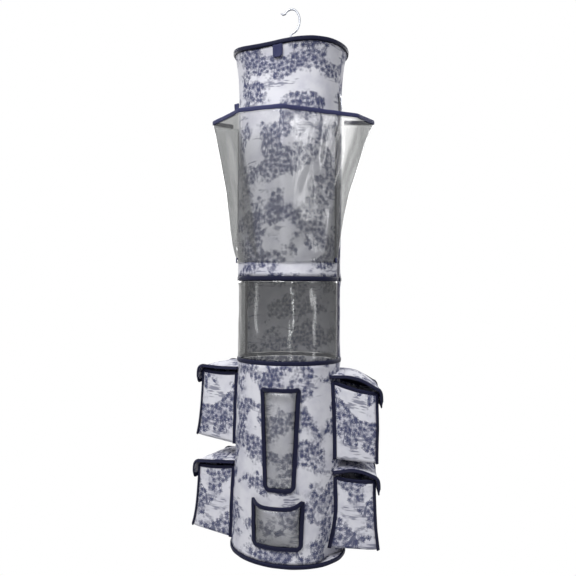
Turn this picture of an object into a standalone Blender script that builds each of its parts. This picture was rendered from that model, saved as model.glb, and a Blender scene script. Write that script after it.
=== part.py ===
"""Hanging gift wrap organizer: a fabric tube that turns under a wire hook.

The origin is the seat inside the top of the hook, where a rod carries it. +Z is up and the
front faces -Y. An azimuth is in degrees from the front, positive towards +X. A drop is a
distance below the top plane of the upper disc.
"""

import math

import bpy
import bmesh
import numpy as np
from mathutils import Matrix, Vector

MM = 0.001

# Overall size
BODY_HEIGHT = 859 * MM
DISC_RADIUS = 100 * MM
WAIST_DRAW_IN = 10.5 * MM
HIP_DRAW_IN = 7 * MM
HOOK_RISE = 74 * MM

# Sheets, tapes and clearances
FABRIC = 1.0 * MM
VINYL = 0.8 * MM
TAPE_WIDTH = 7 * MM
TAPE_THICKNESS = 3 * MM
GAP = 0.3 * MM
SEAM_GAP = 0.5 * MM
CUT_OVERRUN = 2 * MM

# Smoothness
FULL_TURN = 360
SHARP_ANGLE = 35
RING_SEGMENTS = 48
WIRE_SIDES = 10

# Hook
WIRE_RADIUS = 2.0 * MM
HOOK_BOWL_WIDTH = 29 * MM
HOOK_BOWL_HEIGHT = 42 * MM
HOOK_TIP_LENGTH = 6 * MM
HOOK_ARC_START = -60
HOOK_ARC_END = 140
HOOK_ARC_STEPS = 20
STEM_OVERRUN = 5.8 * MM
NUT_RADIUS = 6 * MM
NUT_HEIGHT = 5 * MM
WASHER_RADIUS = 11 * MM
WASHER_THICKNESS = 1.5 * MM
STEM_CLEARANCE = 0.1 * MM

# Discs
BOARD_THICKNESS = 2.5 * MM
RIM_WIDTH = 4 * MM
RIM_HEIGHT = 7 * MM
CROWN_HEIGHT = 2.0 * MM
CROWN_FLAT_SHARE = 0.8
RIM_DIP = 14 * MM
RIM_DIP_AZIMUTH = -20
RIM_DIP_SPREAD = 40
BASE_TILT_SHARE = 0.045
PINCH_AZIMUTH = 64
PINCH_HALF_ANGLE = 30
PINCH_DEPTH = 17 * MM
PINCH_RISE = 110 * MM
PINCH_ROWS = 9
TOP_TAB_AZIMUTH = -4
TOP_TAB_WIDTH = 16 * MM
TOP_TAB_LENGTH = 22 * MM

# Wall, in shares of the body's height below the top
YOKE_SHARE = 0.094
WINDOW_TOP_SHARE = 0.4587
WINDOW_BOTTOM_SHARE = 0.6193
HIP_SHARE = 0.788
YOKE_ROWS = 3
WINDOW_END_AZIMUTH = -110
ZIPPER_AZIMUTH = 76

# Zipper
ZIPPER_SLOT_WIDTH = 12 * MM
TEETH_WIDTH = 2 * MM
TEETH_THICKNESS = 2 * MM
SLIDER_WIDTH = 8 * MM
SLIDER_HEIGHT = 10 * MM
SLIDER_THICKNESS = 2.5 * MM
PULL_WIDTH = 4 * MM
PULL_LENGTH = 22 * MM
PULL_THICKNESS = 1.2 * MM
STOP_HEIGHT = 3 * MM

# Clear pocket, and for each of its folds the azimuth at the rim, reach, azimuth at the base and fullness
CLEAR_RIM_SHARE = 0.1525
CLEAR_HEIGHT = 236 * MM
CLEAR_LEFT_AZIMUTH = -79
CLEAR_RIGHT_AZIMUTH = 70.5
CLEAR_FOLD_SHARES = (
    (-69, 1.52, -77.5, 1),
    (-25, 1.6, -25, 1),
    (3, 1.655, 3, 1),
    (59, 1.565, 45, 1.3),
    (83, 1.64, 69, 1.6),
)
CLEAR_RUN_STEPS = (2, 5, 4, 5, 3, 3)
CLEAR_ROOT = 2.5 * MM
CLEAR_TAB_WIDTH = 11 * MM
CLEAR_TAB_HEIGHT = 9 * MM

# Scissors pocket
SCISSORS_AZIMUTH = 0
SCISSORS_TOP_SHARE = 0.668
SCISSORS_HEIGHT = 161 * MM
SCISSORS_TOP_WIDTH = 61 * MM
SCISSORS_BOTTOM_WIDTH = 46 * MM
SCISSORS_BULGE = 9 * MM
SCISSORS_SAG = 0 * MM

# Tape pocket
ROLL_AZIMUTH = -2
ROLL_TOP_SHARE = 0.875
ROLL_HEIGHT = 75 * MM
ROLL_TOP_WIDTH = 85 * MM
ROLL_BOTTOM_WIDTH = 80 * MM
ROLL_BULGE = 14 * MM
ROLL_SAG = 8 * MM
SAG_EASE_SHARE = 0.06

# Side pockets
POCKET_MIDDLE_AZIMUTH = -4.5
POCKET_AZIMUTH = 100.5
POCKET_WIDTH = 100 * MM
POCKET_DEPTH = 76 * MM
POCKET_HEIGHT = 128 * MM
POCKET_TAPE_WIDTH = 6.5 * MM
FOLD_REACH_SHARE = 0.9
FOLD_LATERAL_SHARE = 0.9
FLAP_OVERHANG = 26 * MM
FLAP_LIFT = 9 * MM
FLAP_PROUD = 3 * MM
FLAP_EDGE_GAP = 2.5 * MM
FLAP_EASE = 14 * MM
WALL_FOLD_GAP = 1.5 * MM
HINGE_GAP = 4.5 * MM
FOLD_CLEARANCE = 0.9 * MM

# Side pockets: name, side and then the shares that SidePocket unpacks
POCKET_SHARES = (
    ("left_upper", -1, 0.789, 0.956, -0.02, -0.13, 0.86, 1.01, 0.02),
    ("left_lower", -1, 0.977, 0.96, 0.07, -0.13, 0.88, 1.05, 0.03),
    ("right_upper", 1, 0.8065, 1, 0.26, 0.1, 0.93, 0.94, 0.14),
    ("right_lower", 1, 0.979, 0.92, 0.08, 0.03, 0.82, 0.92, 0.13),
)

MATERIALS = {
    "toile_fabric": ((0.74, 0.75, 0.80), 0.45, 0.0),
    "navy_binding": ((0.02, 0.02, 0.05), 0.6, 0.0),
    "slate_binding": ((0.16, 0.17, 0.30), 0.6, 0.0),
    "clear_vinyl": ((0.80, 0.84, 0.84), 0.12, 0.0),
    "chrome": ((0.75, 0.76, 0.78), 0.15, 1.0),
    "grey_board": ((0.55, 0.55, 0.56), 0.8, 0.0),
    "zipper_tape": ((0.05, 0.05, 0.09), 0.8, 0.0),
    "zipper_teeth": ((0.60, 0.58, 0.58), 0.4, 0.0),
}

# Worked out from the sizes above
WAIST_RADIUS = DISC_RADIUS - WAIST_DRAW_IN
HIP_RADIUS = DISC_RADIUS - HIP_DRAW_IN
YOKE_DROP = BODY_HEIGHT * YOKE_SHARE
WINDOW_TOP_DROP = BODY_HEIGHT * WINDOW_TOP_SHARE
WINDOW_BOTTOM_DROP = BODY_HEIGHT * WINDOW_BOTTOM_SHARE
HIP_DROP = BODY_HEIGHT * HIP_SHARE
CLEAR_RIM_DROP = BODY_HEIGHT * CLEAR_RIM_SHARE
CLEAR_BOTTOM_DROP = CLEAR_RIM_DROP + CLEAR_HEIGHT
SCISSORS_TOP_DROP = BODY_HEIGHT * SCISSORS_TOP_SHARE
SCISSORS_BOTTOM_DROP = SCISSORS_TOP_DROP + SCISSORS_HEIGHT
ROLL_TOP_DROP = BODY_HEIGHT * ROLL_TOP_SHARE
ROLL_BOTTOM_DROP = ROLL_TOP_DROP + ROLL_HEIGHT
TOP_Z = -HOOK_RISE
BASE_Z = TOP_Z - BODY_HEIGHT
COVER_RADIUS = DISC_RADIUS - RIM_WIDTH - GAP
BOTTOM_RIM_DROP = BODY_HEIGHT - RIM_HEIGHT
BOARD_DROP = FABRIC + 2 * GAP
WALL_START = RIM_HEIGHT + GAP
EDGE_RADIUS = DISC_RADIUS - RIM_WIDTH / 2
SEAM_RADIUS = WAIST_RADIUS - FABRIC / 2
ZIPPER_HALF_ANGLE = math.degrees(ZIPPER_SLOT_WIDTH / 2 / WAIST_RADIUS)
ZIPPER_RADIUS = WAIST_RADIUS - FABRIC
TEETH_OUT = ZIPPER_RADIUS + TEETH_THICKNESS / 2
BOARD_UNDER_Z = TOP_Z - BOARD_DROP + CROWN_HEIGHT - BOARD_THICKNESS
WASHER_UNDER_Z = BOARD_UNDER_Z - GAP - WASHER_THICKNESS
NUT_UNDER_Z = WASHER_UNDER_Z - GAP - NUT_HEIGHT


def clear_scene():
    for item in list(bpy.data.objects):
        bpy.data.objects.remove(item, do_unlink=True)


def material(name):
    found = bpy.data.materials.get(name)
    if found:
        return found
    colour, roughness, metallic = MATERIALS[name]
    made = bpy.data.materials.new(name)
    made.use_nodes = True
    shader = made.node_tree.nodes["Principled BSDF"]
    shader.inputs["Base Color"].default_value = (*colour, 1)
    shader.inputs["Roughness"].default_value = roughness
    shader.inputs["Metallic"].default_value = metallic
    return made


def add_object(name, mesh_data, finish, pivot=None):
    """Put a bmesh in the scene, with its origin at the pivot when one is given."""
    bmesh.ops.recalc_face_normals(mesh_data, faces=mesh_data.faces)
    if mesh_data.calc_volume(signed=True) < 0:
        bmesh.ops.reverse_faces(mesh_data, faces=mesh_data.faces)
    origin = Vector(pivot) if pivot is not None else Vector((0, 0, 0))
    bmesh.ops.translate(mesh_data, verts=mesh_data.verts, vec=-origin)
    data = bpy.data.meshes.new(name)
    mesh_data.to_mesh(data)
    mesh_data.free()
    data.materials.append(material(finish))
    data.shade_smooth()
    data.set_sharp_from_angle(angle=math.radians(SHARP_ANGLE))
    made = bpy.data.objects.new(name, data)
    made.location = origin
    bpy.context.collection.objects.link(made)
    return made


def around(azimuth, radius, z):
    turn = math.radians(azimuth)
    return Vector((radius * math.sin(turn), -radius * math.cos(turn), z))


def outward(azimuth):
    return around(azimuth, 1, 0)


def wrapped(azimuth):
    """The same azimuth counted from the front either way round."""
    return (azimuth + FULL_TURN / 2) % FULL_TURN - FULL_TURN / 2


def smooth_step(share):
    share = min(max(share, 0), 1)
    return share * share * (3 - 2 * share)


def rim_warp(azimuth):
    """How far the upper disc's soft rim stands above its plane."""
    beside = wrapped(azimuth - RIM_DIP_AZIMUTH) / RIM_DIP_SPREAD
    return -RIM_DIP * math.exp(-beside * beside)


def base_lift(azimuth, radius):
    """How far the tilted lower disc stands above its middle, lower on the +X side."""
    return -BASE_TILT_SHARE * radius * math.sin(math.radians(azimuth))


def disc_warp(azimuth, radius):
    """How far the upper disc is drawn down with its rim, from twice the washer's radius outwards."""
    start = 2 * WASHER_RADIUS
    return rim_warp(azimuth) * smooth_step((radius - start) / (EDGE_RADIUS - start))


def wall_radius(drop):
    """Outside radius of the fabric tube: drawn in from both discs to the waist."""
    if drop < YOKE_DROP:
        return WAIST_RADIUS + (EDGE_RADIUS - WAIST_RADIUS) * (1 - drop / YOKE_DROP) ** 2
    if drop < WINDOW_BOTTOM_DROP:
        return WAIST_RADIUS
    if drop < HIP_DROP:
        share = (drop - WINDOW_BOTTOM_DROP) / (HIP_DROP - WINDOW_BOTTOM_DROP)
        return WAIST_RADIUS + (HIP_RADIUS - WAIST_RADIUS) * smooth_step(share)
    share = (drop - HIP_DROP) / (BODY_HEIGHT - HIP_DROP)
    return HIP_RADIUS + (EDGE_RADIUS - HIP_RADIUS) * share


def pinch(azimuth, drop):
    """How far the wall is folded inwards above the lower disc on the front right."""
    beside = 1 - min(abs(azimuth - PINCH_AZIMUTH) / PINCH_HALF_ANGLE, 1)
    below = min(max((drop - BODY_HEIGHT + PINCH_RISE) / PINCH_RISE, 0), 1)
    return PINCH_DEPTH * smooth_step(beside) * below ** 2


def wall_lift(azimuth, drop):
    """How far the wall is raised by the warped rim above and the tilted base below."""
    above = 1 - smooth_step((drop - WALL_START) / (YOKE_DROP - WALL_START))
    below = smooth_step((drop - HIP_DROP) / (BOTTOM_RIM_DROP - HIP_DROP))
    return rim_warp(azimuth) * above + base_lift(azimuth, EDGE_RADIUS) * below


def wall_point(azimuth, drop, stand):
    """A point that stands out from the wall's outer face."""
    radius = wall_radius(drop) - pinch(wrapped(azimuth), drop) + stand
    return around(azimuth, radius, TOP_Z - drop + wall_lift(azimuth, drop))


def shell(name, outer, inner, finish, closed=False, present=None):
    """A closed sheet between two grids of points; cells can be left out for openings."""
    rows = len(outer) - 1
    columns = len(outer[0]) if closed else len(outer[0]) - 1
    wrap = len(outer[0])
    mesh_data = bmesh.new()
    corners = {}

    def corner(side, i, j):
        key = (side, i, j % wrap)
        if key not in corners:
            grid = outer if side else inner
            corners[key] = mesh_data.verts.new(grid[i][j % wrap])
        return corners[key]

    def there(i, j):
        if not 0 <= i < rows:
            return False
        if closed:
            j %= columns
        elif not 0 <= j < columns:
            return False
        return present is None or present(i, j)

    for i in range(rows):
        for j in range(columns):
            if not there(i, j):
                continue
            ring = ((i, j), (i, j + 1), (i + 1, j + 1), (i + 1, j))
            mesh_data.faces.new([corner(True, *c) for c in ring])
            mesh_data.faces.new([corner(False, *c) for c in reversed(ring)])
            sides = (
                (i - 1, j, ring[0], ring[1]),
                (i, j + 1, ring[1], ring[2]),
                (i + 1, j, ring[2], ring[3]),
                (i, j - 1, ring[3], ring[0]),
            )
            for ni, nj, a, b in sides:
                if not there(ni, nj):
                    edge = ((True, b), (True, a), (False, a), (False, b))
                    mesh_data.faces.new([corner(face_side, *place) for face_side, place in edge])
    bmesh.ops.triangulate(mesh_data, faces=mesh_data.faces)
    return add_object(name, mesh_data, finish)


def sheet(name, points, thickness, finish, pivot=None):
    """A sheet of even thickness around a grid of middle points."""
    grid = np.array([[tuple(p) for p in row] for row in points])
    across = np.gradient(grid, axis=1)
    down = np.gradient(grid, axis=0)
    normals = np.cross(across, down)
    normals /= np.linalg.norm(normals, axis=2, keepdims=True)
    outer = grid + normals * thickness / 2
    inner = grid - normals * thickness / 2
    made = shell(name, outer.tolist(), inner.tolist(), finish)
    if pivot is not None:
        made.data.transform(Matrix.Translation(-Vector(pivot)))
        made.location = pivot
    return made


def tape_mesh(path, outs, width, thickness, closed=False):
    """A bound edge: a flat tape with rounded shoulders swept along a path."""
    section = (
        (-width / 2, -thickness / 2),
        (-width / 2, thickness / 4),
        (-width / 2 + thickness / 3, thickness / 2),
        (width / 2 - thickness / 3, thickness / 2),
        (width / 2, thickness / 4),
        (width / 2, -thickness / 2),
    )
    mesh_data = bmesh.new()
    count = len(path)
    rings = []
    for i, (point, out) in enumerate(zip(path, outs)):
        before = path[(i - 1) % count] if closed or i else path[i]
        after = path[(i + 1) % count] if closed or i < count - 1 else path[i]
        along = (Vector(after) - Vector(before)).normalized()
        out = (Vector(out) - along * along.dot(Vector(out))).normalized()
        side = along.cross(out)
        rings.append([mesh_data.verts.new(Vector(point) + side * s + out * t) for s, t in section])
    pairs = list(zip(rings, rings[1:]))
    if closed:
        pairs.append((rings[-1], rings[0]))
    else:
        mesh_data.faces.new(rings[0])
        mesh_data.faces.new(list(reversed(rings[-1])))
    size = len(section)
    for a, b in pairs:
        for k in range(size):
            mesh_data.faces.new([a[k], b[k], b[(k + 1) % size], a[(k + 1) % size]])
    return mesh_data


def tape(name, path, outs, width, thickness, finish, closed=False, pivot=None):
    return add_object(name, tape_mesh(path, outs, width, thickness, closed), finish, pivot)


def ring_azimuths():
    """Azimuths that every wall shares, so that the zipper's slot falls on whole cells."""
    slot = 2 * ZIPPER_HALF_ANGLE
    rest = FULL_TURN - slot
    start = ZIPPER_AZIMUTH + ZIPPER_HALF_ANGLE
    return [start + rest * k / (RING_SEGMENTS - 1) for k in range(RING_SEGMENTS)]


def turned(name, profile, finish, segments, pivot=None):
    """A closed profile of radius and height turned about the vertical axis."""
    mesh_data = bmesh.new()
    rings = []
    for k in range(segments):
        azimuth = FULL_TURN * k / segments
        rings.append([mesh_data.verts.new(around(azimuth, radius, z)) for radius, z in profile])
    size = len(profile)
    for k in range(segments):
        a = rings[k]
        b = rings[(k + 1) % segments]
        for m in range(size):
            mesh_data.faces.new([a[m], b[m], b[(m + 1) % size], a[(m + 1) % size]])
    return add_object(name, mesh_data, finish, pivot)


def hook_path():
    """Stem up through the disc, then the open bowl of the hook and its tip."""
    top = WIRE_RADIUS
    middle = top - HOOK_BOWL_HEIGHT / 2
    half = HOOK_BOWL_WIDTH / 2
    stem_end = NUT_UNDER_Z - STEM_OVERRUN
    neck = middle - HOOK_BOWL_HEIGHT / 2
    points = [Vector((0, 0, z)) for z in (stem_end, (stem_end + neck) / 2, neck - WIRE_RADIUS)]
    for degrees in spread(HOOK_ARC_START, HOOK_ARC_END, HOOK_ARC_STEPS):
        turn = math.radians(degrees)
        points.append(Vector((half * math.cos(turn), 0, middle + HOOK_BOWL_HEIGHT / 2 * math.sin(turn))))
    tip = points[-1]
    points.append(tip + Vector((-HOOK_TIP_LENGTH / 2, 0, -HOOK_TIP_LENGTH / 6)))
    points.append(tip + Vector((-HOOK_TIP_LENGTH, 0, 0)))
    return points


def hook_wire():
    path = hook_path()
    mesh_data = bmesh.new()
    rings = []
    side = Vector((0, 1, 0))
    for i, point in enumerate(path):
        before = path[max(i - 1, 0)]
        after = path[min(i + 1, len(path) - 1)]
        along = (after - before).normalized()
        out = side.cross(along)
        ring = []
        for k in range(WIRE_SIDES):
            turn = 2 * math.pi * k / WIRE_SIDES
            offset = side * math.cos(turn) + out * math.sin(turn)
            ring.append(mesh_data.verts.new(point + offset * WIRE_RADIUS))
        rings.append(ring)
    for a, b in zip(rings, rings[1:]):
        for k in range(WIRE_SIDES):
            mesh_data.faces.new([a[k], b[k], b[(k + 1) % WIRE_SIDES], a[(k + 1) % WIRE_SIDES]])
    mesh_data.faces.new(list(reversed(rings[0])))
    mesh_data.faces.new(rings[-1])
    add_object("hook_wire", mesh_data, "chrome")


def washer(name, inner, outer, low, height):
    """A flat ring round the stem, from its inner and outer radius and its underside."""
    high = low + height
    profile = ((outer, high), (outer, low), (inner, low), (inner, high))
    turned(name, profile, "chrome", 2 * WIRE_SIDES)


def hook_and_swivel():
    hook_wire()
    bore = WIRE_RADIUS + STEM_CLEARANCE
    washer("top_grommet", bore, WASHER_RADIUS, TOP_Z + CROWN_HEIGHT + GAP, WASHER_THICKNESS)
    washer("top_washer", bore, WASHER_RADIUS, WASHER_UNDER_Z, WASHER_THICKNESS)
    washer("hook_nut", WIRE_RADIUS + GAP, NUT_RADIUS, NUT_UNDER_Z, NUT_HEIGHT)


def crown(radius):
    """Height of the covered disc above its rim plane, flat across the middle."""
    outside = (radius / COVER_RADIUS - CROWN_FLAT_SHARE) / (1 - CROWN_FLAT_SHARE)
    return CROWN_HEIGHT * (1 - smooth_step(outside))


def disc_sheet(name, top_offset, thickness, finish):
    """A disc with a hole for the stem, warped with the rim."""
    radii = [WIRE_RADIUS + GAP, WASHER_RADIUS, 2 * WASHER_RADIUS]
    radii += [COVER_RADIUS * share for share in (0.5, CROWN_FLAT_SHARE, 0.92, 1)]
    azimuths = ring_azimuths()
    outer = []
    inner = []
    for radius in radii:
        heights = [TOP_Z + top_offset + crown(radius) + disc_warp(a, radius) for a in azimuths]
        outer.append([around(a, radius, z) for a, z in zip(azimuths, heights)])
        inner.append([around(a, radius, z - thickness) for a, z in zip(azimuths, heights)])
    shell(name, outer, inner, finish, closed=True)


def rim_ring(name, high_drop, warped):
    """The bound edge of a disc, which is also what the wall is sewn to."""
    azimuths = ring_azimuths()
    path = []
    for a in azimuths:
        lift = rim_warp(a) if warped else base_lift(a, EDGE_RADIUS)
        path.append(around(a, EDGE_RADIUS, TOP_Z - high_drop - RIM_HEIGHT / 2 + lift))
    outs = [outward(a) for a in azimuths]
    tape(name, path, outs, RIM_HEIGHT, RIM_WIDTH, "navy_binding", closed=True)


def top_disc():
    disc_sheet("top_cover", 0, FABRIC, "toile_fabric")
    disc_sheet("top_board", -BOARD_DROP, BOARD_THICKNESS, "grey_board")
    rim_ring("top_binding", 0, warped=True)
    top_tab()


def top_tab():
    """The end of the rim tape, turned down over the wall with a narrowed tip."""
    width_shares = (1, 1, 1, 0.45)
    length_shares = (0, 0.4, 0.8, 1)
    points = []
    for length_share, width_share in zip(length_shares, width_shares):
        drop = WALL_START + FABRIC + TOP_TAB_LENGTH * length_share
        half = math.degrees(TOP_TAB_WIDTH / 2 * width_share / wall_radius(drop))
        azimuths = (TOP_TAB_AZIMUTH - half, TOP_TAB_AZIMUTH, TOP_TAB_AZIMUTH + half)
        points.append([wall_point(a, drop, SEAM_GAP + FABRIC) for a in azimuths])
    sheet("top_tab", points, 2 * FABRIC, "slate_binding")


def bottom_disc():
    cover_low = BASE_Z + BOARD_THICKNESS + GAP
    tilted_disc("bottom_board", BASE_Z, BOARD_THICKNESS, "grey_board")
    tilted_disc("bottom_cover", cover_low, FABRIC, "toile_fabric")
    rim_ring("bottom_binding", BOTTOM_RIM_DROP, warped=False)


def tilted_disc(name, low, thickness, finish):
    mesh_data = bmesh.new()
    azimuths = ring_azimuths()
    heights = [low + base_lift(a, COVER_RADIUS) for a in azimuths]
    under = [mesh_data.verts.new(around(a, COVER_RADIUS, z)) for a, z in zip(azimuths, heights)]
    over = [mesh_data.verts.new(around(a, COVER_RADIUS, z + thickness)) for a, z in zip(azimuths, heights)]
    mesh_data.faces.new(under)
    mesh_data.faces.new(list(reversed(over)))
    for k in range(len(under)):
        n = (k + 1) % len(under)
        mesh_data.faces.new([under[k], over[k], over[n], under[n]])
    add_object(name, mesh_data, finish)


def wall_grid(drops, azimuths, thickness):
    """Outer and inner points of a stretch of the wall."""
    outer = [[wall_point(a, drop, 0) for a in azimuths] for drop in drops]
    inner = [[wall_point(a, drop, -thickness) for a in azimuths] for drop in drops]
    return outer, inner


def spread(start, end, count):
    return [start + (end - start) * k / count for k in range(count + 1)]


def walls():
    azimuths = ring_azimuths()
    half_seam = TAPE_WIDTH / 2 + GAP
    yoke_drops = spread(WALL_START, YOKE_DROP, YOKE_ROWS)
    upper_drops = yoke_drops + spread(YOKE_DROP, WINDOW_TOP_DROP - half_seam, 4)[1:]
    outer, inner = wall_grid(upper_drops, azimuths, FABRIC)
    slot = len(azimuths) - 1

    def beside_slot(row, column):
        return row < YOKE_ROWS or column != slot

    shell("upper_wall", outer, inner, "toile_fabric", closed=True, present=beside_slot)
    pinch_drop = BODY_HEIGHT - PINCH_RISE
    lower_drops = spread(WINDOW_BOTTOM_DROP + half_seam, HIP_DROP, 3)
    lower_drops += spread(HIP_DROP, pinch_drop, 2)[1:]
    lower_drops += spread(pinch_drop, BOTTOM_RIM_DROP - GAP, PINCH_ROWS)[1:]
    outer, inner = wall_grid(lower_drops, azimuths, FABRIC)
    shell("lower_wall", outer, inner, "toile_fabric", closed=True)


def window_band():
    """The clear window and the cloth behind it, the seam that joins them, and the bound edges."""
    half_seam = TAPE_WIDTH / 2 + GAP
    drops = (WINDOW_TOP_DROP + half_seam, WINDOW_BOTTOM_DROP - half_seam)
    seam_angle = math.degrees(half_seam / WAIST_RADIUS)
    window_azimuths = spread(WINDOW_END_AZIMUTH + seam_angle, ZIPPER_AZIMUTH - ZIPPER_HALF_ANGLE, 24)
    outer, inner = wall_grid(spread(*drops, 2), window_azimuths, VINYL)
    shell("window", outer, inner, "clear_vinyl")
    rear_end = FULL_TURN + WINDOW_END_AZIMUTH - seam_angle
    rear_azimuths = spread(ZIPPER_AZIMUTH + ZIPPER_HALF_ANGLE, rear_end, 22)
    outer, inner = wall_grid(spread(*drops, 2), rear_azimuths, FABRIC)
    shell("rear_panel", outer, inner, "toile_fabric")
    path = [around(WINDOW_END_AZIMUTH, SEAM_RADIUS, TOP_Z - drop) for drop in spread(*drops, 4)]
    outs = [outward(WINDOW_END_AZIMUTH)] * len(path)
    tape("window_seam", path, outs, TAPE_WIDTH, TAPE_THICKNESS, "navy_binding")
    band_edge("window_top_binding", WINDOW_TOP_DROP, closed=False)
    band_edge("window_bottom_binding", WINDOW_BOTTOM_DROP, closed=True)


def band_edge(name, drop, closed):
    """A binding round the tube; an open one stops at both sides of the zipper."""
    azimuths = ring_azimuths()
    path = [around(a, SEAM_RADIUS, TOP_Z - drop) for a in azimuths]
    outs = [outward(a) for a in azimuths]
    tape(name, path, outs, TAPE_WIDTH, TAPE_THICKNESS, "navy_binding", closed=closed)


def block(name, across, out, up, finish, pivot=None, bevel=0):
    """A box at the zipper, given by its ranges across it, out from the middle and upwards."""
    ranges = (across, out, up)
    axes = (outward(ZIPPER_AZIMUTH + 90), outward(ZIPPER_AZIMUTH), Vector((0, 0, 1)))
    mesh_data = bmesh.new()
    bmesh.ops.create_cube(mesh_data, size=1)
    for vertex in mesh_data.verts:
        place = Vector()
        for share, (low, high), axis in zip(vertex.co, ranges, axes):
            place += axis * ((low + high) / 2 + (high - low) * share)
        vertex.co = place
    bmesh.ops.recalc_face_normals(mesh_data, faces=mesh_data.faces)
    if bevel:
        bmesh.ops.bevel(mesh_data, geom=mesh_data.edges[:], offset=bevel, segments=1, affect="EDGES")
    return add_object(name, mesh_data, finish, pivot)


def zipper():
    """Two tapes and the closed teeth in the slot, with stops, a slider and its pull."""
    top = TOP_Z - YOKE_DROP - GAP
    end = TOP_Z - WINDOW_BOTTOM_DROP + TAPE_WIDTH / 2 + GAP
    slot = ZIPPER_SLOT_WIDTH / 2 - SEAM_GAP
    half = TEETH_WIDTH / 2
    tape_out = (ZIPPER_RADIUS - FABRIC / 2, ZIPPER_RADIUS + FABRIC / 2)
    block("zipper_front_tape", (-slot, -half - GAP), tape_out, (end, top), "zipper_tape")
    block("zipper_rear_tape", (half + GAP, slot), tape_out, (end, top), "zipper_tape")
    teeth_top = top - STOP_HEIGHT - GAP
    teeth_end = end + STOP_HEIGHT + GAP
    teeth_out = (TEETH_OUT - TEETH_THICKNESS, TEETH_OUT)
    block("zipper_teeth", (-half, half), teeth_out, (teeth_end, teeth_top), "zipper_teeth")
    stop_out = (ZIPPER_RADIUS - FABRIC / 2, TEETH_OUT + TEETH_THICKNESS / 2)
    block("zipper_top_stop", (-half, half), stop_out, (top - STOP_HEIGHT, top), "chrome")
    block("zipper_bottom_stop", (-half, half), stop_out, (end, end + STOP_HEIGHT), "chrome")
    zipper_slider(teeth_top)


def zipper_slider(top):
    """The runner in front of the teeth, and the pull that turns on it."""
    half = SLIDER_WIDTH / 2
    low = TEETH_OUT + GAP
    high = low + SLIDER_THICKNESS
    bevel = SLIDER_THICKNESS / 4
    block("zipper_slider", (-half, half), (low, high), (top - SLIDER_HEIGHT, top), "chrome", bevel=bevel)
    pull_top = top - SLIDER_HEIGHT / 4
    pull_out = (high + GAP, high + GAP + PULL_THICKNESS)
    pin = around(ZIPPER_AZIMUTH, sum(pull_out) / 2, pull_top - PULL_THICKNESS / 2)
    across = (-PULL_WIDTH / 2, PULL_WIDTH / 2)
    up = (pull_top - PULL_LENGTH, pull_top)
    block("zipper_pull", across, pull_out, up, "chrome", pivot=pin, bevel=PULL_THICKNESS / 4)


def clear_plan(height_share):
    """Plan of the clear pocket at a share of its height: folds joined by straight runs."""
    root = WAIST_RADIUS + SEAM_GAP + VINYL / 2
    bottom = [around(CLEAR_LEFT_AZIMUTH, root, 0)]
    rim = [around(CLEAR_LEFT_AZIMUTH, root, 0)]
    fullness = [1]
    for rim_azimuth, reach_share, bottom_azimuth, exponent in CLEAR_FOLD_SHARES:
        bottom.append(around(bottom_azimuth, root + CLEAR_ROOT, 0))
        rim.append(around(rim_azimuth, WAIST_RADIUS * reach_share, 0))
        fullness.append(exponent)
    fullness.append(1)
    bottom.append(around(CLEAR_RIGHT_AZIMUTH, root, 0))
    rim.append(around(CLEAR_RIGHT_AZIMUTH, root, 0))
    points = []
    for k, count in enumerate(CLEAR_RUN_STEPS):
        for m in range(count):
            share = m / count
            high = rim[k].lerp(rim[k + 1], share)
            low = bottom[k].lerp(bottom[k + 1], share)
            low_radius = max(low.length, root + CLEAR_ROOT * min(k, 1))
            low = low.normalized() * low_radius if low.length < root else low
            exponent = fullness[k] + (fullness[k + 1] - fullness[k]) * share
            points.append(low.lerp(high, height_share ** exponent))
    points.append(bottom[-1].lerp(rim[-1], height_share))
    return points


def clear_pocket():
    low_z = TOP_Z - CLEAR_BOTTOM_DROP
    high_z = TOP_Z - CLEAR_RIM_DROP - TAPE_WIDTH / 2 - GAP
    rows = []
    for share in (1, 0.85, 0.7, 0.5, 0.25, 0):
        z = low_z + (high_z - low_z) * share
        rows.append([Vector((p.x, p.y, z)) for p in clear_plan(share)])
    sheet("clear_pocket", rows, VINYL, "clear_vinyl")
    plan = clear_plan(1)
    z = TOP_Z - CLEAR_RIM_DROP
    path = [Vector((p.x, p.y, z)) for p in plan]
    outs = []
    for i, point in enumerate(plan):
        along = plan[min(i + 1, len(plan) - 1)] - plan[max(i - 1, 0)]
        outs.append(along.cross(Vector((0, 0, 1))).normalized())
    path[0] = path[0] + (path[1] - path[0]).normalized() * TAPE_THICKNESS
    path[-1] = path[-1] + (path[-2] - path[-1]).normalized() * TAPE_THICKNESS
    tape("clear_pocket_rim", path, outs, TAPE_WIDTH, TAPE_THICKNESS, "slate_binding")
    clear_seam("clear_pocket_left_seam", CLEAR_LEFT_AZIMUTH)
    clear_seam("clear_pocket_right_seam", CLEAR_RIGHT_AZIMUTH)
    clear_tab()


def clear_seam(name, azimuth):
    """The tape that sews a side of the clear pocket down to the wall."""
    radius = WAIST_RADIUS + SEAM_GAP + TAPE_THICKNESS / 4
    middle = azimuth - math.degrees((TAPE_WIDTH / 2 + TAPE_THICKNESS / 2) / radius)
    drops = spread(CLEAR_RIM_DROP + TAPE_WIDTH, CLEAR_BOTTOM_DROP, 4)
    path = [around(middle, radius, TOP_Z - drop) for drop in drops]
    outs = [outward(middle)] * len(path)
    tape(name, path, outs, TAPE_WIDTH, TAPE_THICKNESS / 2, "navy_binding")


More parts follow.
